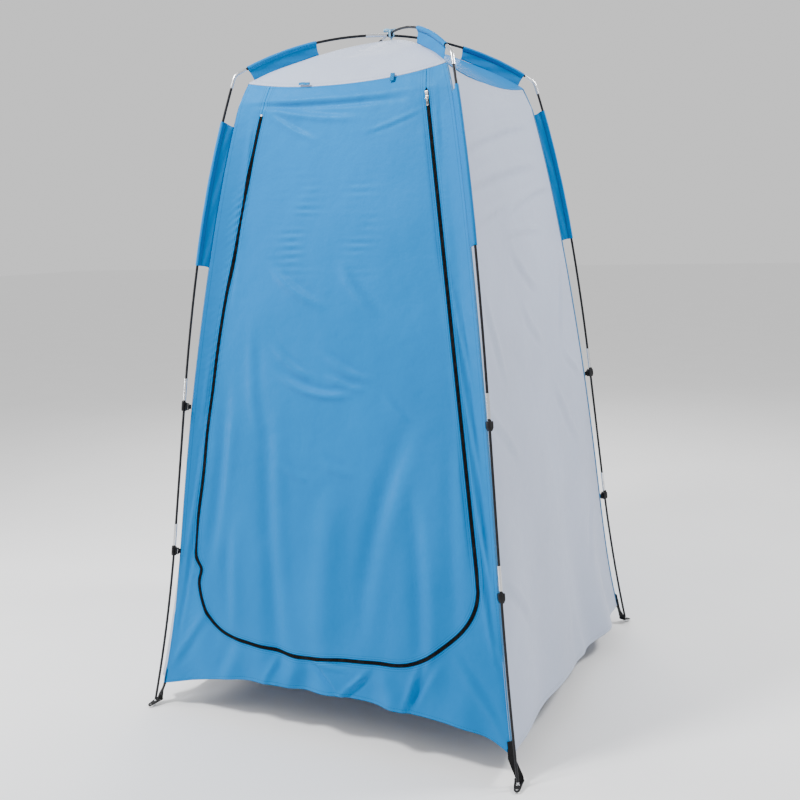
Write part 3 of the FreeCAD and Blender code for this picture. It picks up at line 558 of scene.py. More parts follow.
# Long soft drapes that open out towards the hem.
FRONT_DRAPES = [
    (-0.204, 0.900, -0.155, 1.480, 0.010, 0.024, -0.0127), (0.205, 0.900, 0.100, 1.400, 0.022, 0.028, -0.0145),
    (0.244, 1.060, 0.280, 1.480, -0.006, 0.022, -0.0119), (-0.343, 0.820, -0.388, 1.250, -0.006, 0.018, -0.0110),
    (-0.328, 1.200, -0.318, 1.440, 0.004, 0.018, -0.0093), (0.010, 1.060, -0.020, 1.480, 0.010, 0.040, 0.0102),
    (0.345, 0.900, 0.372, 1.350, 0.004, 0.020, -0.0068), (-0.080, 1.500, -0.120, 1.600, 0.0, 0.024, 0.0085),
    (0.170, 1.500, 0.215, 1.600, 0.0, 0.026, 0.0102), (-0.300, 1.480, -0.350, 1.600, 0.0, 0.022, -0.0076),
]
# Tension folds between the zip and the corner seams.
STRIP_FOLDS = [
    (-0.395, 0.720, -0.432, 0.980, 0.0, 0.0075, 0.0034), (-0.412, 0.840, -0.452, 1.150, 0.0, 0.0075, -0.0034),
    (-0.428, 1.000, -0.474, 1.340, 0.0, 0.0085, 0.0040), (-0.440, 1.200, -0.492, 1.500, 0.0, 0.0090, -0.0040),
    (-0.400, 1.430, -0.510, 1.590, 0.0, 0.0130, 0.0046), (0.385, 1.440, 0.505, 1.600, 0.0, 0.0130, 0.0046),
    (-0.275, 0.060, -0.292, 0.260, 0.0, 0.0070, 0.0030), (-0.300, 0.240, -0.330, 0.520, 0.0, 0.0080, -0.0026),
    (0.275, 0.040, 0.292, 0.300, 0.0, 0.0070, 0.0026), (0.335, 0.500, 0.378, 0.660, 0.0, 0.0060, 0.0030),
    (0.348, 0.590, 0.398, 0.780, 0.0, 0.0065, -0.0030), (0.362, 0.690, 0.415, 0.900, 0.0, 0.0070, 0.0034),
    (0.378, 0.800, 0.432, 1.030, 0.0, 0.0070, -0.0034), (0.394, 0.920, 0.452, 1.170, 0.0, 0.0075, 0.0038),
    (0.410, 1.040, 0.470, 1.310, 0.0, 0.0080, -0.0038), (0.424, 1.160, 0.486, 1.440, 0.0, 0.0085, 0.0040),
]
DRAPE_DEPTH = 0.8
RIPPLE_LENGTH = 0.0215
# Beside the right-hand run of the zip the cloth keeps flat, so that the sliders fit anywhere.
TRACK_HALF, TRACK_END = 0.016, 1.20


def height_of(down):
    return BAND - down * COS if down > 0 else BAND - down


def flat_half(down):
    """Half width of the part that lies in the plane; beyond it the cloth bends to the seams."""
    return 0.275 + 0.156 * max(down, 0.0) * COS


def ripples(x, down):
    """Two columns of fine level ripples in the upper half of the door."""
    strength = 0.0
    for middle, width, amount in ((-0.115, 0.062, 1.0), (0.074, 0.042, 0.8)):
        strength += amount * bump(x, middle, width)
    strength *= smooth(down, 0.13, 0.34) * (1 - smooth(down, 0.41, 0.50))
    uneven = smooth(wave(x * 0.7, 2.0, down * 1.6, 14.0), -0.35, 0.45)
    phase = 3.5 * wave(x * 0.8, 7.0, down, 5.0)
    return 0.0022 * strength * uneven * math.sin(2 * math.pi * down / RIPPLE_LENGTH + phase)


def puckers(down, beside, seed, length, reach):
    """The zip's tape is shorter than the cloth, which puckers beside it."""
    strength = bump(beside, reach, 0.022) * (0.5 + 1.2 * abs(wave(down, seed, 0.0, 5.0)))
    phase = 1.6 * wave(down, seed, 2.0, 5.0)
    return 0.0011 * strength * math.sin(2 * math.pi * (down - 0.9 * beside) / length + phase)


def front_relief(x, down):
    """How far the cloth stands out from the wall's plane: folds, creases and puckers."""
    z = height_of(down)
    share = abs(x) / seam_half(z)
    side = 1 - smooth(share, 0.80, 1.0)
    r = 0.0050 * wave(x, 0.3, z, 2.6) + 0.0026 * wave(x, 4.1, z, 6.5)
    r += 0.0012 * wave(x, 9.0, z * 0.7, 16.0)
    low = smooth(down, 0.9, 1.55)
    r += low * 0.0034 * math.sin(x * 23.0 + 3.0 * wave(x, 1.0, z, 1.5))
    r += low * 0.0016 * math.sin(x * 61.0 + 1.3)
    r += ripples(x, down)
    r += puckers(down, x - right_edge(down), 0.0, 0.017, 0.016) * smooth(down, 0.05, 0.12)
    r += puckers(down, left_edge(down) - x, 5.0, 0.023, 0.012) * smooth(down, 0.1, 0.3)
    r *= side * smooth(down, -0.03, 0.10)
    start = smooth(down, -0.02, 0.012)
    r += start * side * (creased(x, down, FRONT_CREASES) + DRAPE_DEPTH * creased(x, down, FRONT_DRAPES))
    r += (1 - smooth(share, 0.93, 1.0)) * creased(x, down, STRIP_FOLDS)
    stiff = math.exp(-((x - right_edge(down)) / TRACK_HALF) ** 6)
    return r * (1 - stiff * (1 - smooth(down, TRACK_END, SIDE_END)))


def right_edge(down):
    return DOOR_TOP_RIGHT + (SIDE_HALF - DOOR_TOP_RIGHT) * down / SIDE_END


def left_edge(down):
    share = down / SIDE_END
    bow = LEFT_BOW * 4 * share * (1 - share) if down > 0 else 0.0
    return DOOR_TOP_LEFT - (SIDE_HALF + DOOR_TOP_LEFT) * share - bow


def front_point(x, down, lift=0.0):
    """The place on the front wall at x and down, standing lift in front of it."""
    height = height_of(down)
    half = seam_half(height)
    if down > 0:
        y = horner(PLANE_POWERS, height)
    else:
        share = down / BAND_DOWN
        height += share * (eave_height(x / EAVE_HALF, FRONT_DROOP) - EAVE)
        y = horner(PLANE_POWERS, BAND) * (1 - share) - EAVE_HALF * share
    fold = min(flat_half(down), 0.97 * half)
    if abs(x) > fold:
        share = ((abs(x) - fold) / (half - fold)) ** 1.3
        y += (-half - y) * share
    return Vector((x, y, height)) + NORMAL * (lift + front_relief(x, down))


def zip_line(step=0.006):
    """Points (x, down) along the zip's middle, from the left eave round to the right eave."""
    side = int((SIDE_END - BAND_DOWN) / step)
    turns = even(0.0, math.pi / 2, int(CORNER_RADIUS * math.pi / 2 / step))[:-1]
    points = [(left_edge(down), down) for down in even(BAND_DOWN, SIDE_END, side)[:-1]]
    points += [(-ARC_MIDDLE - CORNER_RADIUS * math.cos(a), SIDE_END + CORNER_RADIUS * math.sin(a)) for a in turns]
    points += [(x, BOTTOM) for x in even(-ARC_MIDDLE, ARC_MIDDLE, int(2 * ARC_MIDDLE / step))[:-1]]
    points += [(ARC_MIDDLE + CORNER_RADIUS * math.sin(a), SIDE_END + CORNER_RADIUS * math.cos(a)) for a in turns]
    return points + [(right_edge(down), down) for down in even(SIDE_END, BAND_DOWN, side)]


# Where the zip leaves its drawn line: share of its length, reach, and how far out. A notch above
# the left corner, a squarer left corner, a sagging bottom and a rounder right corner.
ZIP_WANDERS = [(0.362, 0.0065, -0.0150), (0.401, 0.026, 0.0240), (0.480, 0.020, 0.0060),
               (0.550, 0.030, -0.0150), (0.603, 0.030, -0.0210)]


def kinked(points):
    """The real zip wanders a little in its plane, most at the two lower corners."""
    result = []
    total = len(points)
    for i, (x, down) in enumerate(points):
        ahead, behind = points[min(i + 1, total - 1)], points[max(i - 1, 0)]
        tx, td = ahead[0] - behind[0], ahead[1] - behind[1]
        size = math.hypot(tx, td)
        share = i / total
        shift = 0.0022 * math.sin(share * 83.0) * smooth(down, 0.7, 1.25)
        shift += 0.0015 * math.sin(share * 41.0)
        for place, reach, amount in ZIP_WANDERS:
            shift += amount * bump(share, place, reach)
        shift *= smooth(down, 0.06, 0.30) if share < 0.5 else smooth(down, TRACK_END, SIDE_END)
        result.append((x - td / size * shift, down + tx / size * shift))
    return result


PLAIN_ZIP = np.array(zip_line())
ZIP = np.array(kinked(zip_line()))
ZIP_SHIFTS = ZIP - PLAIN_ZIP
ZIP_RUN = np.concatenate([[0.0], np.cumsum(np.hypot(*np.diff(ZIP, axis=0).T))])
ZIP_LENGTH = float(ZIP_RUN[-1])


def zip_point(run):
    """(x, down) on the zip's middle at a run along it."""
    return [float(np.interp(run, ZIP_RUN, column)) for column in ZIP.T]


def zip_frame_at(run):
    """(x, down) on the zip's middle at a run along it, and the unit direction away from the door."""
    x0, down0 = zip_point(max(run - 0.006, 0.0))
    x1, down1 = zip_point(min(run + 0.006, ZIP_LENGTH))
    size = math.hypot(x1 - x0, down1 - down0)
    return *zip_point(run), (down0 - down1) / size, (x1 - x0) / size


def nearest(line, x, down):
    """The closest place on a line: its distance, the points before and after it, the share between."""
    i = int(np.hypot(line[:, 0] - x, line[:, 1] - down).argmin())
    low, high = max(i - 1, 0), min(i + 1, len(line) - 1)
    a, b = line[low], line[high]
    along = b - a
    t = float(np.clip(((x - a[0]) * along[0] + (down - a[1]) * along[1]) / (along @ along), 0, 1))
    near = a + along * t
    return math.hypot(x - near[0], down - near[1]), low, high, t


def from_zip(x, down):
    """Distance to the zip's middle line, and the run along it."""
    distance, low, high, t = nearest(ZIP, x, down)
    return distance, float(ZIP_RUN[low] + (ZIP_RUN[high] - ZIP_RUN[low]) * t)


def with_zip(x, down):
    """Moves a point of the door along with the wandering zip, less and less away from it."""
    distance, low, high, t = nearest(PLAIN_ZIP, x, down)
    shift = (ZIP_SHIFTS[low] * (1 - t) + ZIP_SHIFTS[high] * t) * (1 - smooth(distance, 0.0, 0.09))
    return x + float(shift[0]), down + float(shift[1])


def cloth_gap(run, down):
    """How far the cloth's edge keeps from the zip's middle: nothing above the zip's ends."""
    end = ZIP_END_LEFT if run < ZIP_LENGTH / 2 else ZIP_END_RIGHT
    return 0.0004 + 0.0052 * smooth(down, end - 0.004, end + 0.003)


def hem_down(x):
    """The front hem: highest near the middle and a little higher at its right end."""
    u = x / seam_half(HEM)
    rise = 0.062 * (1 - abs(u) ** 2.4) + 0.014 * smooth(u, 0.2, 0.75) * (1 - abs(u) ** 12)
    return HEM_DOWN - (rise + 0.003 * math.sin(u * 9.0))


def outer_edge(run):
    """The point of the wall's own outline that belongs to a run along the zip."""
    x, down = zip_point(run)
    side = -1.0 if run < ZIP_LENGTH / 2 else 1.0
    end = SIDE_END - 0.02
    if down <= end:
        return side * seam_half(height_of(down)), down
    if abs(x) <= ARC_MIDDLE:
        return x, hem_down(x)
    share = math.atan2(down - end, abs(x) - ARC_MIDDLE) / (math.pi / 2)
    corner = seam_half(HEM)
    if share < 0.5:
        low = end + (hem_down(side * corner) - end) * share * 2
        return side * seam_half(height_of(low)), low
    across = corner + (ARC_MIDDLE - corner) * (share - 0.5) * 2
    return side * across, hem_down(side * across)


EDGE_STEPS = [0.0, 0.002, 0.004, 0.007, 0.010, 0.014, 0.020, 0.030]
NARROW = 0.075                   # below this width the edge steps shrink with the strip


def close_ends(low, high, near, count):
    """Places from low to high: the near steps at both ends and count even ones between."""
    span = high - low - 2 * near[-1]
    return ([low + d for d in near] + [low + near[-1] + span * (k + 1) / (count + 1) for k in range(count)]
            + [high - d for d in reversed(near)])


def front_cloth():
    """Rows run out from the zip's line to the wall's own outline."""
    grid = []
    for run in even(0.0, ZIP_LENGTH, 860):
        x, down, nx, nd = zip_frame_at(run)
        gap = cloth_gap(run, down)
        inner = (x + nx * gap, down + nd * gap)
        outer = outer_edge(run)
        width = math.hypot(outer[0] - inner[0], outer[1] - inner[1])
        near = EDGE_STEPS if width > NARROW else [d * width / NARROW for d in EDGE_STEPS]
        hem_side = smooth(abs(outer[1]) - SIDE_END, 0.15, 0.2)
        row = []
        for d in close_ends(0.0, width, near, 14):
            share = d / width
            px = inner[0] + (outer[0] - inner[0]) * share
            pd = inner[1] + (outer[1] - inner[1]) * share
            fade = 1 - (1 - hem_side) * smooth(share, 0.9, 1.0)
            flutter = hem_side * smooth(share, 0.2, 1.0) * 0.006 * math.sin(px * 34.0 + 0.8)
            point = front_point(px, pd) + NORMAL * (flutter * fade)
            row.append((point, (px, -pd), (d + gap, run), (width - d, run)))
        grid.append(row)
    return sheet_mesh("front_wall_cloth", grid, ("cloth", "zip", "rim"), M_FRONT)


def door_cloth():
    """Rows run across the door; near the zip they follow it."""
    downs = [BAND_DOWN + d for d in (0.0, 0.003, 0.006, 0.009, 0.012, 0.016)]
    while downs[-1] < BOTTOM - 0.05:
        downs.append(downs[-1] + 0.0045)
    last = BOTTOM - 0.0056
    downs += [last - d for d in (0.040, 0.030, 0.022, 0.016, 0.011, 0.008, 0.005, 0.0025, 0.0012, 0.0)]
    grid = []
    for down in downs:
        gap = cloth_gap(0.0, down)
        left, right = left_edge(down) + gap, right_edge(down) - cloth_gap(ZIP_LENGTH, down)
        if down > SIDE_END:
            right = ARC_MIDDLE + math.sqrt(max((CORNER_RADIUS - gap) ** 2 - (down - SIDE_END) ** 2, 0.0))
            left = -right
        row = []
        for d in close_ends(0.0, right - left, EDGE_STEPS, 68):
            x, low = with_zip(left + d, down)
            row.append((front_point(x, low), (x, -low), from_zip(x, low), (low - BAND_DOWN, x)))
        grid.append(row)
    return sheet_mesh("door_cloth", grid, ("cloth", "zip", "rim"), M_FRONT)


front = front_cloth()
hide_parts("front_wall_left", "front_wall_right", "front_wall_sill")
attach(front, "tent")

door = door_cloth()
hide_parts("door_panel", "front_wall_header")
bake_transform(door)


# ---- the other walls ----
# Creases of a side wall: across from its middle towards the back, and height; the other side
# wall is its mirror image.
SIDE_CREASES = [
    (-0.340, 1.540, 0.170, 1.640, 0.010, 0.013, 0.0090), (-0.360, 1.445, 0.180, 1.530, 0.010, 0.015, 0.0093),
    (-0.040, 1.400, 0.300, 1.470, 0.008, 0.012, 0.0075), (-0.110, 1.330, 0.160, 1.340, 0.006, 0.010, 0.0060),
    (-0.300, 1.360, -0.100, 1.410, 0.004, 0.012, 0.0060), (-0.080, 1.275, 0.070, 1.180, -0.006, 0.014, 0.0063),
    (-0.060, 1.130, 0.060, 1.030, -0.006, 0.014, 0.0060), (0.270, 0.960, 0.380, 0.895, 0.0, 0.011, 0.0060),
    (-0.410, 0.900, -0.250, 0.760, 0.006, 0.014, 0.0063), (0.150, 0.880, 0.300, 0.700, -0.006, 0.016, 0.0060),
    (-0.440, 0.480, -0.280, 0.330, 0.004, 0.015, 0.0066), (0.430, 0.470, 0.300, 0.300, -0.004, 0.015, 0.0066),
    (0.330, 1.200, 0.250, 1.020, 0.004, 0.013, 0.0054), (-0.330, 1.180, -0.270, 0.980, -0.004, 0.013, 0.0054),
]


def wall_relief(u, z, seed, folds, mirror):
    """How far a wall's cloth stands out; u runs from -1 to 1 between its corner seams."""
    x = u * seam_half(z)
    r = 0.0070 * wave(x, seed, z * 0.8, 2.0) + 0.0032 * wave(x, seed + 5, z, 6.0)
    r += 0.0013 * wave(x, seed + 9, z, 15.0)
    low = 1 - smooth(z, 0.25, 1.0)
    r += low * 0.0065 * math.sin(x * 19.0 + seed + 2.0 * wave(x, seed, z, 1.4))
    r *= 1 - smooth(abs(u), 0.86, 1.0)
    r += creased(x * mirror, z, SIDE_CREASES) * (1 - smooth(abs(u), 0.90, 1.0))
    for place, amount, width, rise in folds:
        r += amount * bump(u, place, width) * (1 - smooth(z, 0.05, rise)) * (1 - smooth(abs(u), 0.94, 1.0))
    return r * (1 - 0.7 * smooth(z, 1.62, 1.74))


def wall_cloth(name, azimuth, material, seed, folds, droop, hem):
    """A wall drawn in the front wall's place and turned to its own side."""
    mirror = -1.0 if name.startswith("left") else 1.0
    rises = [0.0, 0.003, 0.006, 0.009, 0.012, 0.015, 0.020]
    while rises[-1] < BAND - HEM - 0.03:
        rises.append(rises[-1] + 0.0085)
    rises += [BAND - HEM + d for d in (0.0, 0.012, 0.024)] + [EAVE - HEM - d for d in (0.014, 0.010, 0.006, 0.0)]
    across = [-1.0, -0.995, -0.985, -0.97] + even(-0.95, 0.95, 76) + [0.97, 0.985, 0.995, 1.0]
    grid = []
    for rise in rises:
        row = []
        for u in across:
            z = HEM + rise + hem(u) * (1 - smooth(rise, 0.0, 0.5))
            half = seam_half(min(z, EAVE))
            sag = smooth(z, BAND - 0.02, EAVE) * (eave_height(u, droop) - EAVE)
            slope = (seam_half(min(z + 0.01, EAVE)) - half) / 0.01
            normal = Vector((0, -1, -slope)).normalized()
            point = Vector((u * half, -half, z + sag)) + normal * wall_relief(u, z, seed, folds, mirror)
            rim = min(rise, (1 - abs(u)) * half + 0.02, EAVE - HEM - rise)
            row.append((turn(point, azimuth), (u * half, z), (rim, u * half if rise < 0.1 else z)))
        grid.append(row)
    return sheet_mesh(name, grid, ("cloth", "rim"), material)


def right_hem(u):
    return (0.018 * smooth(u, -1.0, -0.6) * (1 - smooth(u, -0.3, 0.3))
            - 0.004 * bump(u, 0.5, 0.25) * (1 - u * u))


# Node, azimuth, looks, noise seed, folds at the foot (place, depth, width, rise), the eave's sag
# and how far the hem lifts along u.
WALLS = [
    ("right_wall", 90.0, M_GREY, "grey_fabric", 3.0,
     ((0.62, 0.030, 0.16, 0.42), (-0.30, 0.016, 0.20, 0.45), (0.20, 0.010, 0.08, 0.30)), 0.012, right_hem),
    ("back_wall", 180.0, M_BLUE, "blue_fabric", 17.0,
     ((-0.45, 0.018, 0.20, 0.40), (0.35, 0.014, 0.16, 0.35)), 0.014, lambda u: 0.022 * (1 - u * u)),
    ("left_wall", 270.0, M_GREY, "grey_fabric", 29.0,
     ((0.40, 0.018, 0.18, 0.40), (-0.40, 0.012, 0.14, 0.35), (0.955, 0.034, 0.025, 1.00)), 0.012,
     lambda u: 0.016 * (1 - u * u)),
]
walls = []
for node, azimuth, material, slot, *form in WALLS:
    walls.append(wall_cloth(node + "_cloth", azimuth, material, *form))
    fit(walls[-1], node, slot, "tent")


# ---- roof ----
def roof_point(u, v, droop, seed):
    """u from -1 to 1 between the ridges, v from the apex to the eave."""
    half = v * EAVE_HALF
    x = u * half
    z = float(RIDGE(half * ROOT2))
    z += smooth(v, 0.55, 1.0) * (eave_height(u, droop) - EAVE)
    z -= 0.010 * (1 - u * u) * v * (1 - v) * 4
    side = (1 - smooth(abs(u), 0.85, 1.0)) * (1 - smooth(v, 0.90, 1.0))
    z += side * v * (0.0026 * wave(x, seed, half, 7.0) + 0.0014 * wave(x, seed + 3, half, 18.0))
    z += side * 0.0020 * math.sin(u * 7.0 + seed) * v * v
    return Vector((x, -half, z))


def roof_cloth(name, azimuth, material, droop, seed):
    grid = []
    for v in [0.02 + 0.93 * (i / 40) for i in range(41)] + [0.965, 0.975, 0.985, 1.0]:
        row = []
        for u in even(-1, 1, 48):
            p = roof_point(u, v, droop, seed)
            rim = min((1 - v) * 0.32 + 0.003, (1 - abs(u)) * abs(p.y) * 0.7 + 0.004)
            row.append((turn(p, azimuth), (p.x, v * 0.32), (rim, u * v * 0.29)))
        grid.append(row)
    # The lip that folds down over the top of the wall.
    outwards = turn((0, -1, 0), azimuth)
    eave_row = grid[-1]
    for fold, drop, length in ((0.0012, 0.0010, 0.0010), (0.0015, 0.0036, 0.0046)):
        grid.append([(p + outwards * fold - Z_AXIS * drop, (x, y + length), (0.0015, run))
                     for p, (x, y), (_, run) in eave_row])
    return sheet_mesh(name, grid, ("cloth", "rim"), material)


roofs = []
for side, azimuth, material, slot, droop, seed in (
        ("front", 0.0, M_GREY, "grey_fabric", FRONT_DROOP, 2.0), ("right", 90.0, M_BLUE, "blue_fabric", 0.012, 7.0),
        ("back", 180.0, M_GREY, "grey_fabric", 0.014, 11.0), ("left", 270.0, M_BLUE, "blue_fabric", 0.012, 15.0)):
    roofs.append(roof_cloth("roof_cloth_" + side, azimuth, material, droop, seed))
    fit(roofs[-1], "roof_" + side, slot, "tent")


# ---- zip ----
def run_at(down, side):
    """The run along the zip where its left (-1) or right (+1) part passes a distance down."""
    half = ZIP_RUN <= ZIP_LENGTH / 2 if side < 0 else ZIP_RUN > ZIP_LENGTH / 2
    order = np.argsort(ZIP[half, 1])
    return float(np.interp(down, ZIP[half, 1][order], ZIP_RUN[half][order]))


ZIP_START, ZIP_STOP = run_at(ZIP_END_LEFT, -1), run_at(ZIP_END_RIGHT, 1)
ZIP_STATIONS = even(ZIP_START, ZIP_STOP, int((ZIP_STOP - ZIP_START) / 0.0045))
TOOTH_PITCH = 0.0022
TOOTH_SECTION = [(0.00015, 0.0), (0.0006, 0.0008), (0.0026, 0.0011), (0.0035, 0.0004),
                 (0.0035, -0.0004), (0.0026, -0.0011), (0.0006, -0.0008)]
TOOTH_MIDDLE = 0.0018
PROBE = 0.004                    # how far apart the cloth is sampled to find its slope


def beside_zip(run, offset, lift):
    x, down, nx, nd = zip_frame_at(run)
    return front_point(x + nx * offset, down + nd * offset, lift)


def zip_teeth(name, side, phase):
    """One row of coil teeth: small rounded blocks that reach towards the middle."""
    vertices, faces = [], []
    tooth = tube_faces(4, len(TOOTH_SECTION))
    run = ZIP_START + phase
    while run < ZIP_STOP - 0.001:
        x, down, nx, nd = zip_frame_at(run)
        anchor = front_point(x, down)
        across = (front_point(x + nx * PROBE * side, down + nd * PROBE * side) - anchor) / PROBE
        along = (front_point(x + nd * PROBE, down - nx * PROBE) - anchor) / PROBE
        up = across.cross(along).normalized()
        up = up if up.dot(NORMAL) > 0 else -up
        base = len(vertices)
        faces += [tuple(base + i for i in face) for face in tooth]
        for end, narrow in ((-0.00082, 0.8), (-0.0005, 1.0), (0.0005, 1.0), (0.00082, 0.8)):
            for offset, lift in TOOTH_SECTION:
                reach = TOOTH_MIDDLE + (offset - TOOTH_MIDDLE) * narrow
                vertices.append(anchor + across * reach + along * end + up * lift * narrow)
        run += TOOTH_PITCH
    return new_mesh(name, vertices, faces, M_COIL)


def zip_tape(name, side):
    """The woven tape behind the cloth's edge; the frame's half also covers the middle."""
    columns = [(0.0007, -0.0008), (0.0020, -0.0011), (0.0042, -0.0010), (0.0080, -0.0017), (0.0125, -0.0020)]
    if side > 0:
        columns = [(-0.0013, -0.0012), (-0.0003, -0.0012)] + columns
    grid = [[(beside_zip(run, offset * side, lift), (offset, run)) for offset, lift in columns]
            for run in ZIP_STATIONS]
    return sheet_mesh(name, grid, ["cloth"], M_TAPE, 0.0004)


def edge_roll(name, side):
    """The cloth's folded edge beside the coil, a little raised."""
    path = [beside_zip(run, 0.0059 * side, 0.0003) for run in ZIP_STATIONS]
    return tube_mesh(name, path, 0.0008, 6, M_FRONT_EDGE, 0.7, NORMAL)


for key, side, phase in (("frame", 1.0, 0.0), ("door", -1.0, TOOTH_PITCH / 2)):
    teeth = zip_teeth("zip_teeth_" + key, side, phase)
    tape = zip_tape("zip_tape_" + key, side)
    roll = edge_roll("zip_edge_" + key, side)
    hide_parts("zip_" + key + "_half")
    for piece, slot in ((teeth, "zip_coil"), (tape, "zip_coil"), (roll, "blue_fabric")):
        if key == "frame":
            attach(piece, "tent")
        else:
            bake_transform(piece)

stop_x, stop_down = zip_point(ZIP_START)
stop_place = Matrix.Translation(front_point(stop_x, stop_down - 0.001))
stop = plate([rounded(-0.0030, -0.0028, 0.0030, 0.0028, 0.0012)], 0.0016, 0.0005, M_STOP,
             stop_place @ NORMAL.to_track_quat("Z", "Y").to_matrix().to_4x4(), "zip_top_stop")
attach(stop, "tent")


# ---- sliders and pulls ----
PIN_LIFT = 0.0039                # a pull's pin above the middle of its slider


def slider_frame(joint, sign):
    """The drawing frame of a slider, found from its pull's pin."""
    y_axis = -Vector(JOINTS["upper_slider_run"]["axis"]).normalized()
    z_axis = (NORMAL - y_axis * NORMAL.dot(y_axis)).normalized()
    pin = Vector(JOINTS[joint]["pos_m"])
    return frame_matrix(y_axis.cross(z_axis), y_axis, z_axis, pin + y_axis * 0.0015 - z_axis * (PIN_LIFT * sign))


def slider_piece(name, joint, sign):
    """Two wings round the coil, the post between them and the bail that holds the pull."""
    place = slider_frame(joint, sign)
    over = place @ Matrix.Scale(sign, 4, Z_AXIS)
    wing = (arc_points(0.0022, 0.0030, 0.0026, 0, 90, 5) + arc_points(-0.0022, 0.0030, 0.0026, 90, 180, 5)
            + arc_points(-0.0020, -0.0042, 0.0016, 180, 270, 4) + arc_points(0.0020, -0.0042, 0.0016, 270, 360, 4))
    pieces = [plate([wing], 0.00055, 0.00035, M_SLIDER, over @ Matrix.Translation((0, 0, z)))
              for z in (0.00205, -0.00205)]
    pieces.append(plate([rounded(-0.0005, 0.001, 0.0005, 0.005, 0.0004)], 0.0017, 0.0002, M_SLIDER, place))
    bail = eased(mm((0, 2.6, 2.6), (0, 2.2, 4.6), (0, 0.2, 5.3), (0, -2.5, 5.0), (0, -4.0, 4.0), (0, -4.4, 2.6)), 6)
    across = place.to_3x3() @ Vector((1, 0, 0))
    pieces.append(ribbon("bail", [over @ p for p in bail], across, 0.0022, 0.0008, M_SLIDER))
    fit(join(name, pieces), "zip_" + name, "zip_metal", name)


def pull_piece(name, joint, sign):
    """A tab with a window, on its pin."""
    place = slider_frame(joint, sign) @ Matrix.Scale(sign, 4, Z_AXIS) @ Matrix.Translation((0, 0, PIN_LIFT))
    outline = mm((-2.6, -0.8), (-1.6, -0.8), (-1.6, -6.2), (1.6, -6.2), (1.6, -0.8), (2.6, -0.8), (2.6, -12.0),
                 (2.3, -17.2)) + arc_points(0, -0.0184, 0.0026, 0, -180, 10) + mm((-2.3, -17.2), (-2.6, -12.0))
    window = rounded(-0.0012, -0.0186, 0.0012, -0.0095, 0.0010)
    tab = plate([outline, window], 0.0006, 0.0003, M_SLIDER, place)
    pin = [place @ Vector((x, -0.0015, 0)) for x in (-0.0027, -0.0026, 0.0026, 0.0027)]
    piece = join(name, [tab, tube_mesh("pin", pin, 0.0007, 12, M_SLIDER)])
    fit(piece, "zip_" + name, "zip_metal", name)


slider_piece("slider_upper", "inner_pull_swing", -1)
slider_piece("slider_lower", "outer_pull_swing", 1)
pull_piece("pull_inner", "inner_pull_swing", -1)
pull_piece("pull_outer", "outer_pull_swing", 1)


# ---- sleeves ----
POLE_WRAP = 0.0051
STITCH_REACH = 0.0095
SLEEVE_WAVE = 0.0012             # how far a sleeve's web bows at its ends and ripples between
WEB_SLANT = 0.007                # a sleeve's ends run down towards the wall
ROOF_NEAR, ROOF_FAR = 0.222, 0.417
SLEEVE_STEPS = [0.0, 0.0015, 0.003, 0.0045, 0.006, 0.009]


def sleeve(name, node, corner, stations):
    """Cloth from the seam across the web, once round the pole and back to the stitching.
    A station is (pole out, pole height, seam out, seam height)."""
    azimuth = CORNERS[corner]
    last = len(stations) - 1
    length = math.dist(stations[-1][:2], stations[0][:2])
    grid = []
    for i, (out, height, seam_out, seam_height) in enumerate(stations):
        before, after = stations[max(i - 1, 0)], stations[min(i + 1, last)]
        along = Vector((after[0] - before[0], 0, after[1] - before[1])).normalized()
        pole = Vector((out, 0, height))
        seam = Vector((seam_out, 0, seam_height))
        inwards = seam - pole
        inwards = (inwards - along * inwards.dot(along)).normalized()
        stitch = pole + inwards * STITCH_REACH
        share = i / last
        points = []
        for t in even(0.0, 1.0, 8):
            bow = SLEEVE_WAVE * 4 * t * (1 - t) * (1 - 2 * share) * min(abs(share - 0.5) / 0.3, 1.0)
            side = SLEEVE_WAVE * math.sin(math.pi * t) * math.sin(share * 17.0 + 2.0 * t + azimuth)
            points.append(seam.lerp(stitch, t) + along * bow + Vector((0, side + 0.0003 * t, 0)))
        for k, angle in enumerate(even(32, 328, 18)):
            a = math.radians(angle)
            radius = POLE_WRAP * (1 + 0.10 * wave(share * 0.4, k * 0.02, azimuth, 20.0))
            points.append(pole + inwards * (radius * math.cos(a)) + Vector((0, radius * math.sin(a), 0)))
        points.append(stitch + Vector((0, -0.0006, 0)))
        row, run = [], 0.0
        end = min(share, 1 - share) * length
        for k, p in enumerate(points):
            run += (p - points[k - 1]).length if k else 0.0
            rim = min(end, abs(run - (seam - stitch).length) + 0.0035)
            row.append((turn(p, azimuth), (run, share * length), (rim, run if end < 0.02 else share * length)))
        grid.append(row)
    piece = sheet_mesh(name, grid, ("cloth", "rim"), M_SLEEVE, 0.0006)
    fit(piece, node, "blue_fabric", "tent")
    return piece


def sleeve_heights(azimuth):
    """Lowest and highest point of the wall sleeve at one corner."""
    p = points_of("wall_sleeves")
    out, height = corner_plane(p, azimuth)
    return height[out > 0.3].min(), height[out > 0.3].max()


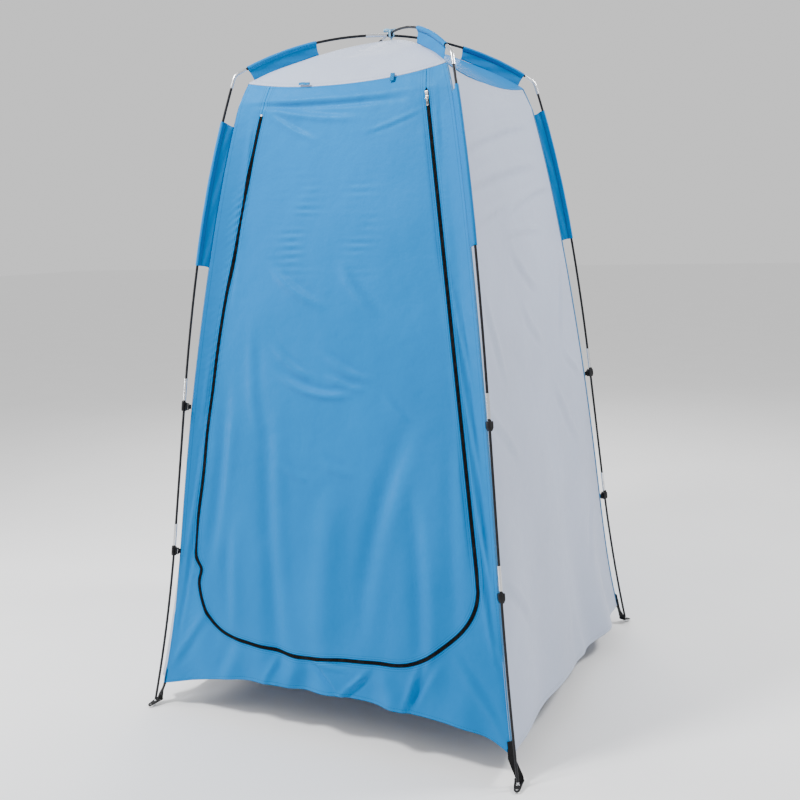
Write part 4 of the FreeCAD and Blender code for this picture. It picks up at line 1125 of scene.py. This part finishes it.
for corner, azimuth in CORNERS.items():
    low, high = sleeve_heights(azimuth)
    stations = []
    for h in close_ends(low + 0.001, high - 0.001, SLEEVE_STEPS, 40):
        seam_height = h - WEB_SLANT - 0.006 * smooth(h, high - 0.03, high)
        leg_out = float(np.interp(h, *LEG))
        stations.append((leg_out, h, seam_half(seam_height) * ROOT2 + 0.0012, seam_height))
    sleeve("wall_sleeve_" + corner, "wall_sleeves", corner, stations)
    arch = ARCHES[corner]
    stations = []
    for out in reversed(close_ends(ROOF_NEAR, ROOF_FAR, SLEEVE_STEPS, 24)):
        slope = float(arch.deriv()(out))
        depth = float(arch(out) - RIDGE(out))
        seam_out = out + depth * slope / (1 + slope * slope)
        stations.append((out, float(arch(out)), seam_out, float(RIDGE(seam_out)) + 0.001))
    sleeve("roof_sleeve_" + corner, "roof_sleeves", corner, stations)


# ---- corner bindings ----
for corner in CORNERS:
    sign_x = 1 if "right" in corner else -1
    sign_y = 1 if "back" in corner else -1
    path = []
    for i in range(91):
        z = HEM + 0.002 + (EAVE - HEM - 0.004) * i / 90
        half = seam_half(z)
        lift = (eave_height(1.0, 0.0) - EAVE) * smooth(z, BAND, EAVE)
        path.append(Vector((sign_x * (half + 0.0012), sign_y * (half - 0.0036), z + lift)))
    binding = ribbon("corner_binding_" + corner, path, Vector((0, 1, 0)), 0.0085, 0.0011, M_BINDING)
    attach(binding, "tent")


# ---- clips ----
CLIP_LEVELS = mm((-13.0, 0.6), (-12.7, 0.2), (-12.0, 0), (-5.0, 0), (0, 0), (10.0, 0), (10.7, 0.2), (11.0, 0.6))


def clip_section(half_width, inset):
    """The hook's section round the pole: a rounded block with a bore and an open flank."""
    x0, x1 = -0.0072 + inset, 0.0068 - inset
    y = half_width - inset
    r = 0.0016
    bore = 0.00375
    mouth = 0.0029
    reach = math.sqrt(bore * bore - mouth * mouth)
    loop = [(mouth, y)] + arc_points(x1 - r, y - r, r, 90, 0, 3) + arc_points(x1 - r, -y + r, r, 0, -90, 3)
    loop += arc_points(x0 + r, -y + r, r, 270, 180, 3) + arc_points(x0 + r, y - r, r, 180, 90, 3) + [(-mouth, y)]
    start, end = (math.degrees(math.atan2(reach, x)) for x in (-mouth, mouth))
    return loop + arc_points(0, 0, bore, start, 360 + end, 16)


def clip_piece(level, corner):
    """A hook round the pole with an eye for its webbing, which is sewn to the wall's corner."""
    name = "clip_" + level + "_" + corner
    joint = JOINTS[name + "_turn"]
    z_axis = Vector(joint["axis"]).normalized()
    out = turn((1, 0, 0), CORNERS[corner])
    x_axis = (out - z_axis * out.dot(z_axis)).normalized()
    place = frame_matrix(x_axis, z_axis.cross(x_axis), z_axis, Vector(joint["pos_m"]))
    vertices = []
    for z, inset in CLIP_LEVELS:
        half = 0.0085 - 0.0038 * smooth(-z, 0.004, 0.013)
        vertices += [place @ Vector((x, y, z)) for x, y in clip_section(half, inset)]
    faces = tube_faces(len(CLIP_LEVELS), len(vertices) // len(CLIP_LEVELS))
    hook = new_mesh("hook", vertices, [tuple(reversed(face)) for face in faces], M_PLASTIC)
    hook.data.set_sharp_from_angle(angle=math.radians(40))
    upright = place @ Matrix.Rotation(math.radians(90), 4, "X")
    eye = [rounded(-0.0140, -0.0110, -0.0066, 0.0090, 0.0018), rounded(-0.0121, -0.0085, -0.0099, 0.0065, 0.0010)]
    nib = [rounded(0.0042, 0.0100, 0.0068, 0.0152, 0.0010)]
    rib = [rounded(0.0050, -0.0105, 0.0074, 0.0090, 0.0010)]
    plates = [plate(outlines, half, edge, M_PLASTIC, upright)
              for outlines, half, edge in ((eye, 0.0019, 0.0005), (nib, 0.0029, 0.0006), (rib, 0.0011, 0.0004))]
    fit(join(name + "_hook", [hook] + plates), name, "black_plastic", name)
    half_loop = mm((-19.6, 0.6), (-17.2, 0.7), (-15.2, 1.6), (-14.1, 2.7), (-12.8, 3.0), (-11.6, 2.6), (-11.0, 1.0))
    path = [(x, y, -0.001) for x, y in half_loop] + [(x, -y, -0.001) for x, y in reversed(half_loop)]
    loop = ribbon(name + "_webbing", [place @ p for p in eased(path, 4)], z_axis, 0.0128, 0.0009, M_WEBBING)
    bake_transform(loop)


for corner in CORNERS:
    for level in ("lower", "upper"):
        clip_piece(level, corner)


# ---- feet ----
PEG_X = 0.015                    # the peg hole's place on the ring


def circle(x, y, r, count=28):
    return arc_points(x, y, r, 0, 360 - 360 / count, count - 1)


def foot_piece(corner):
    """The ring at a pole's foot, with raised rims round both holes; gives its drawing frame."""
    name = "foot_ring_" + corner
    mount = MOUNTS["peg_hole_" + corner]
    centre = Vector(JOINTS[name + "_turn"]["pos_m"])
    z_axis = Vector(mount["axis"]).normalized()
    x_axis = (Vector(mount["pos_m"]) - centre).normalized()
    place = frame_matrix(x_axis, z_axis.cross(x_axis), z_axis, centre)
    edge = mm((-9.0, -11.2), (0, -10.3), (8.0, -9.2))
    outline = (arc_points(-0.0166, 0.0098, 0.0031, 80, 190, 8) + arc_points(-0.0166, -0.0098, 0.0031, 170, 280, 8)
               + edge + arc_points(PEG_X, 0.0, 0.0078, -80, 80, 16) + [(x, -y) for x, y in reversed(edge)])
    holes = [circle(0, 0, 0.0046), circle(PEG_X, 0, 0.0035), rounded(-0.0165, -0.0104, -0.0125, 0.0104, 0.0015)]
    pieces = [plate([outline] + holes, 0.0015, 0.0006, M_PLASTIC, place)]
    for x, r in ((0, 0.0056), (PEG_X, 0.0045)):
        for lift in (0.0014, -0.0014):
            ring = [place @ Vector((px, py, lift)) for px, py in circle(x, 0, r)]
            pieces.append(tube_mesh("rim", ring, 0.0009, 8, M_PLASTIC, 0.7, z_axis, closed=True))
    fit(join(name + "_moulding", pieces), name, "black_plastic", name)
    return place


def strap_piece(corner, place):
    """The webbing that is sewn to the wall's corner and goes round the ring's bar."""
    azimuth = CORNERS[corner]
    ring_side = place.to_3x3() @ Vector((0, 1, 0))
    side = turn((0, 1, 0), azimuth)
    side = side if side.dot(ring_side) > 0 else -side

    def on_corner(height, lift):
        return turn((seam_half(max(height, HEM)) * ROOT2 + lift, 0, height), azimuth)

    outer = [on_corner(HEM + d, 0.0024) for d in (0.040, 0.030, 0.018, 0.006)] + [on_corner(HEM - 0.008, 0.0036)]
    bar = [place @ Vector(p) for p in mm((-21.8, 0, 4.0), (-21.1, 0, 0), (-20.0, 0, -2.6), (-18.0, 0, -3.0),
                                         (-15.5, 0, -2.4), (-14.7, 0, 0), (-15.5, 0, 2.8), (-18.5, 0, 6.8))]
    inner = [on_corner(HEM - 0.006, 0.0004), on_corner(HEM + 0.004, -0.0022), on_corner(HEM + 0.020, -0.0026)]
    path = eased(outer + bar + inner, 5)
    a, b = outer[-1], bar[1]
    run = b - a
    sides = [side.lerp(ring_side, smooth((p - a).dot(run.normalized()) / run.length, 0.0, 1.0)) for p in path]
    strap = ribbon("corner_strap_" + corner, path, sides, 0.0195, 0.0014, M_WEBBING)
    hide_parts("corner_straps")
    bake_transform(strap)
    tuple(a)
    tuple(b)


for corner in CORNERS:
    strap_piece(corner, foot_piece(corner))


# ---- ties ----
def tie_frame(name):
    """The tie's upper edge, the direction down along it, and its width."""
    low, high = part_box(name)
    down = Vector((0, low.y - high.y, low.z - high.z)).normalized()
    return Vector(JOINTS[name + "_swing"]["pos_m"]), down, high.x - low.x


pivot, down, width = tie_frame("door_tie_left")
outwards = Vector((-1, 0, 0)).cross(down).normalized()
outwards = outwards if outwards.y < 0 else -outwards
path = []
for i in range(25):
    x = (-0.5 + i / 24) * width * 0.97
    sway, lift = 0.0042 + 0.0012 * math.sin(x * 150), 0.0006 * math.cos(x * 120)
    path.append(pivot + Vector((x, 0, 0)) + down * sway + outwards * lift)
strip = ribbon("strip", path, down, 0.0078, 0.0009, M_DOOR_TIE)
hook = [pivot + Vector((x, 0, 0)) + down * fall + outwards * lift
        for x, fall, lift in mm((15.0, 4.0, 1.0), (16.5, 6.6, 1.4), (15.0, 8.8, 1.0), (12.8, 8.0, 1.0))]
left_tie = join("door_tie_left_strip", [strip, tube_mesh("hook", eased(hook, 5), 0.0006, 8, M_DOOR_TIE)])
fit(left_tie, "door_tie_left", "door_tie_tape", "door_tie_left")

pivot, down, _ = tie_frame("door_tie_right")
loop = [pivot + down * fall + outwards * lift
        for fall, lift in mm((0.4, 0.4), (10.0, 1.0), (19.0, 1.4), (22.2, 1.2), (22.8, 0.2), (21.5, -0.4),
                             (10.0, -0.4), (2.0, -0.4))]
right_tie = ribbon("door_tie_right_loop", eased(loop, 6), Vector((1, 0.10, 0.06)).normalized(),
                   0.0118, 0.0008, M_DOOR_TIE)
fit(right_tie, "door_tie_right", "door_tie_tape", "door_tie_right")

# The tape at the crossing: two wraps on the diagonals, a bow to the left and a tail to the right.
crossing_heights = [float(ARCHES[corner](0.0)) for corner in ("front_left", "front_right")]
CROSS_LOW, CROSS_HIGH = min(crossing_heights) - 0.0040, max(crossing_heights) + 0.0041
KNOT = CROSS_HIGH + 0.0022


def wrap(angle, grow, reach=0.0072):
    c, s = math.cos(math.radians(angle)), math.sin(math.radians(angle))
    low, middle, high = CROSS_LOW - grow, (CROSS_LOW + CROSS_HIGH) / 2, CROSS_HIGH + grow
    loop = [(-reach, low), (-reach - 0.001, middle), (-reach * 0.8, high), (0, high + 0.0008), (reach * 0.8, high),
            (reach + 0.001, middle), (reach, low), (0, low - 0.0006), (-reach, low)]
    path = eased([(c * a, s * a, z) for a, z in loop], 6)
    return ribbon("wrap", path, Vector((-s, c, 0)), 0.0052, 0.0008, M_TIE)


def tape(base, across, width, *rows):
    """A tape through points in millimetres, their heights above base."""
    path = eased([(x, y, base + z) for x, y, z in mm(*rows)], 7)
    return ribbon("tape", path, Vector(across), width, 0.0008, M_TIE)


crossing = join("crossing_tape", [
    wrap(0.0, 0.0), wrap(90.0, 0.0009),
    tape(KNOT, (0.1, 0.15, 1), 0.0046, (1.0, 0, 0), (-10.0, -3.0, 3.5), (-20.0, -2.0, 3.0), (-23.5, 2.0, 0.5),
         (-18.0, 5.0, -0.6), (-8.0, 3.0, 0), (0, 1.0, 0.5)),
    tape(KNOT, (0.2, -0.5, 0.85), 0.0046, (0, 0, 0), (7.0, 3.0, 2.2), (14.0, 7.0, 3.0), (21.0, 12.0, 2.2)),
    tape(KNOT, (0.6, -0.7, 0.1), 0.0056, (-2.2, -1.6, -0.6), (-1.0, 0, 2.6), (1.2, 1.4, 2.4), (2.6, 2.2, -0.6)),
    tape(CROSS_LOW, (1, 0, 0), 0.0050, (0, 0, 0), (0.6, 0, -4.0), (0, 0.4, (APEX + 0.0005 - CROSS_LOW) * 1000))])
fit(crossing, "crossing_tie", "tie_tape", "tent")


# ---- the CAD's own pieces that stay ----
OWN_LOOKS = {"pole_ferrules": M_STEEL, "elbows": M_STEEL, "foot_pins": M_STEEL, "pole_": M_POLE,
             "shock_cord": M_ELASTIC}
for node, obj in NODES.items():
    material = next((look for start, look in OWN_LOOKS.items() if node.startswith(start)), None)
    if material:
        obj.data.materials.clear()
        obj.data.materials.append(material)
        obj.data.polygons.foreach_set("use_smooth", [True] * len(obj.data.polygons))
        obj.data.set_sharp_from_angle(angle=math.radians(40))


# ---- camera, floor and light ----
camera_data = bpy.data.cameras.new("camera")
camera_data.sensor_width = 36.0
camera_data.lens = 44.1
camera_data.clip_start, camera_data.clip_end = 0.05, 60.0
camera = placed("camera", camera_data)
bpy.context.scene.camera = camera
turned = Matrix.Identity(3)
for degrees, axis in ((26.2, "Z"), (-9.84, "X"), (1.69, "Y")):
    turned = turned @ Matrix.Rotation(math.radians(degrees), 3, axis)
right, ahead, up = turned.col
camera.matrix_world = frame_matrix(right, up, -ahead, Vector((1.291, -2.635, 1.349)))

floor_shader = Shader("floor_pale", (0.90, 0.90, 0.90), Roughness=0.9)
floor_noise = floor_shader.noise(floor_shader.place(), 3.0, 2.0)
floor_look = floor_shader.finish(floor_shader.mix(floor_noise, (0.90, 0.90, 0.90, 1), (0.94, 0.94, 0.94, 1)))
floor_corners = [(x, y, -0.001) for x, y in ((-30, -30), (30, -30), (30, 30), (-30, 30))]
new_mesh("floor", floor_corners, [(0, 1, 2, 3)], floor_look)

world = bpy.data.worlds.new("world")
bpy.context.scene.world = world
world.use_nodes = True
world.node_tree.nodes["Background"].inputs[0].default_value = (1.0, 1.0, 1.0, 1)
world.node_tree.nodes["Background"].inputs[1].default_value = 0.85


def area_light(name, place, target, size, power):
    data = bpy.data.lights.new(name, "AREA")
    data.size = size
    data.energy = power
    lamp = placed(name, data)
    lamp.location = place
    lamp.rotation_mode = "QUATERNION"
    lamp.rotation_quaternion = (Vector(target) - Vector(place)).to_track_quat("-Z", "Y")


area_light("key", (-1.0, -1.7, 3.3), (0, -0.35, 1.0), 0.5, 120)
area_light("side", (2.3, 1.3, 3.0), (0.4, 0, 0.9), 0.7, 90)
area_light("left", (-2.6, -1.3, 1.2), (0, -0.4, 0.5), 0.8, 34)
area_light("back", (-1.5, 3.2, 3.0), (0, 0, 1.0), 2.0, 60)
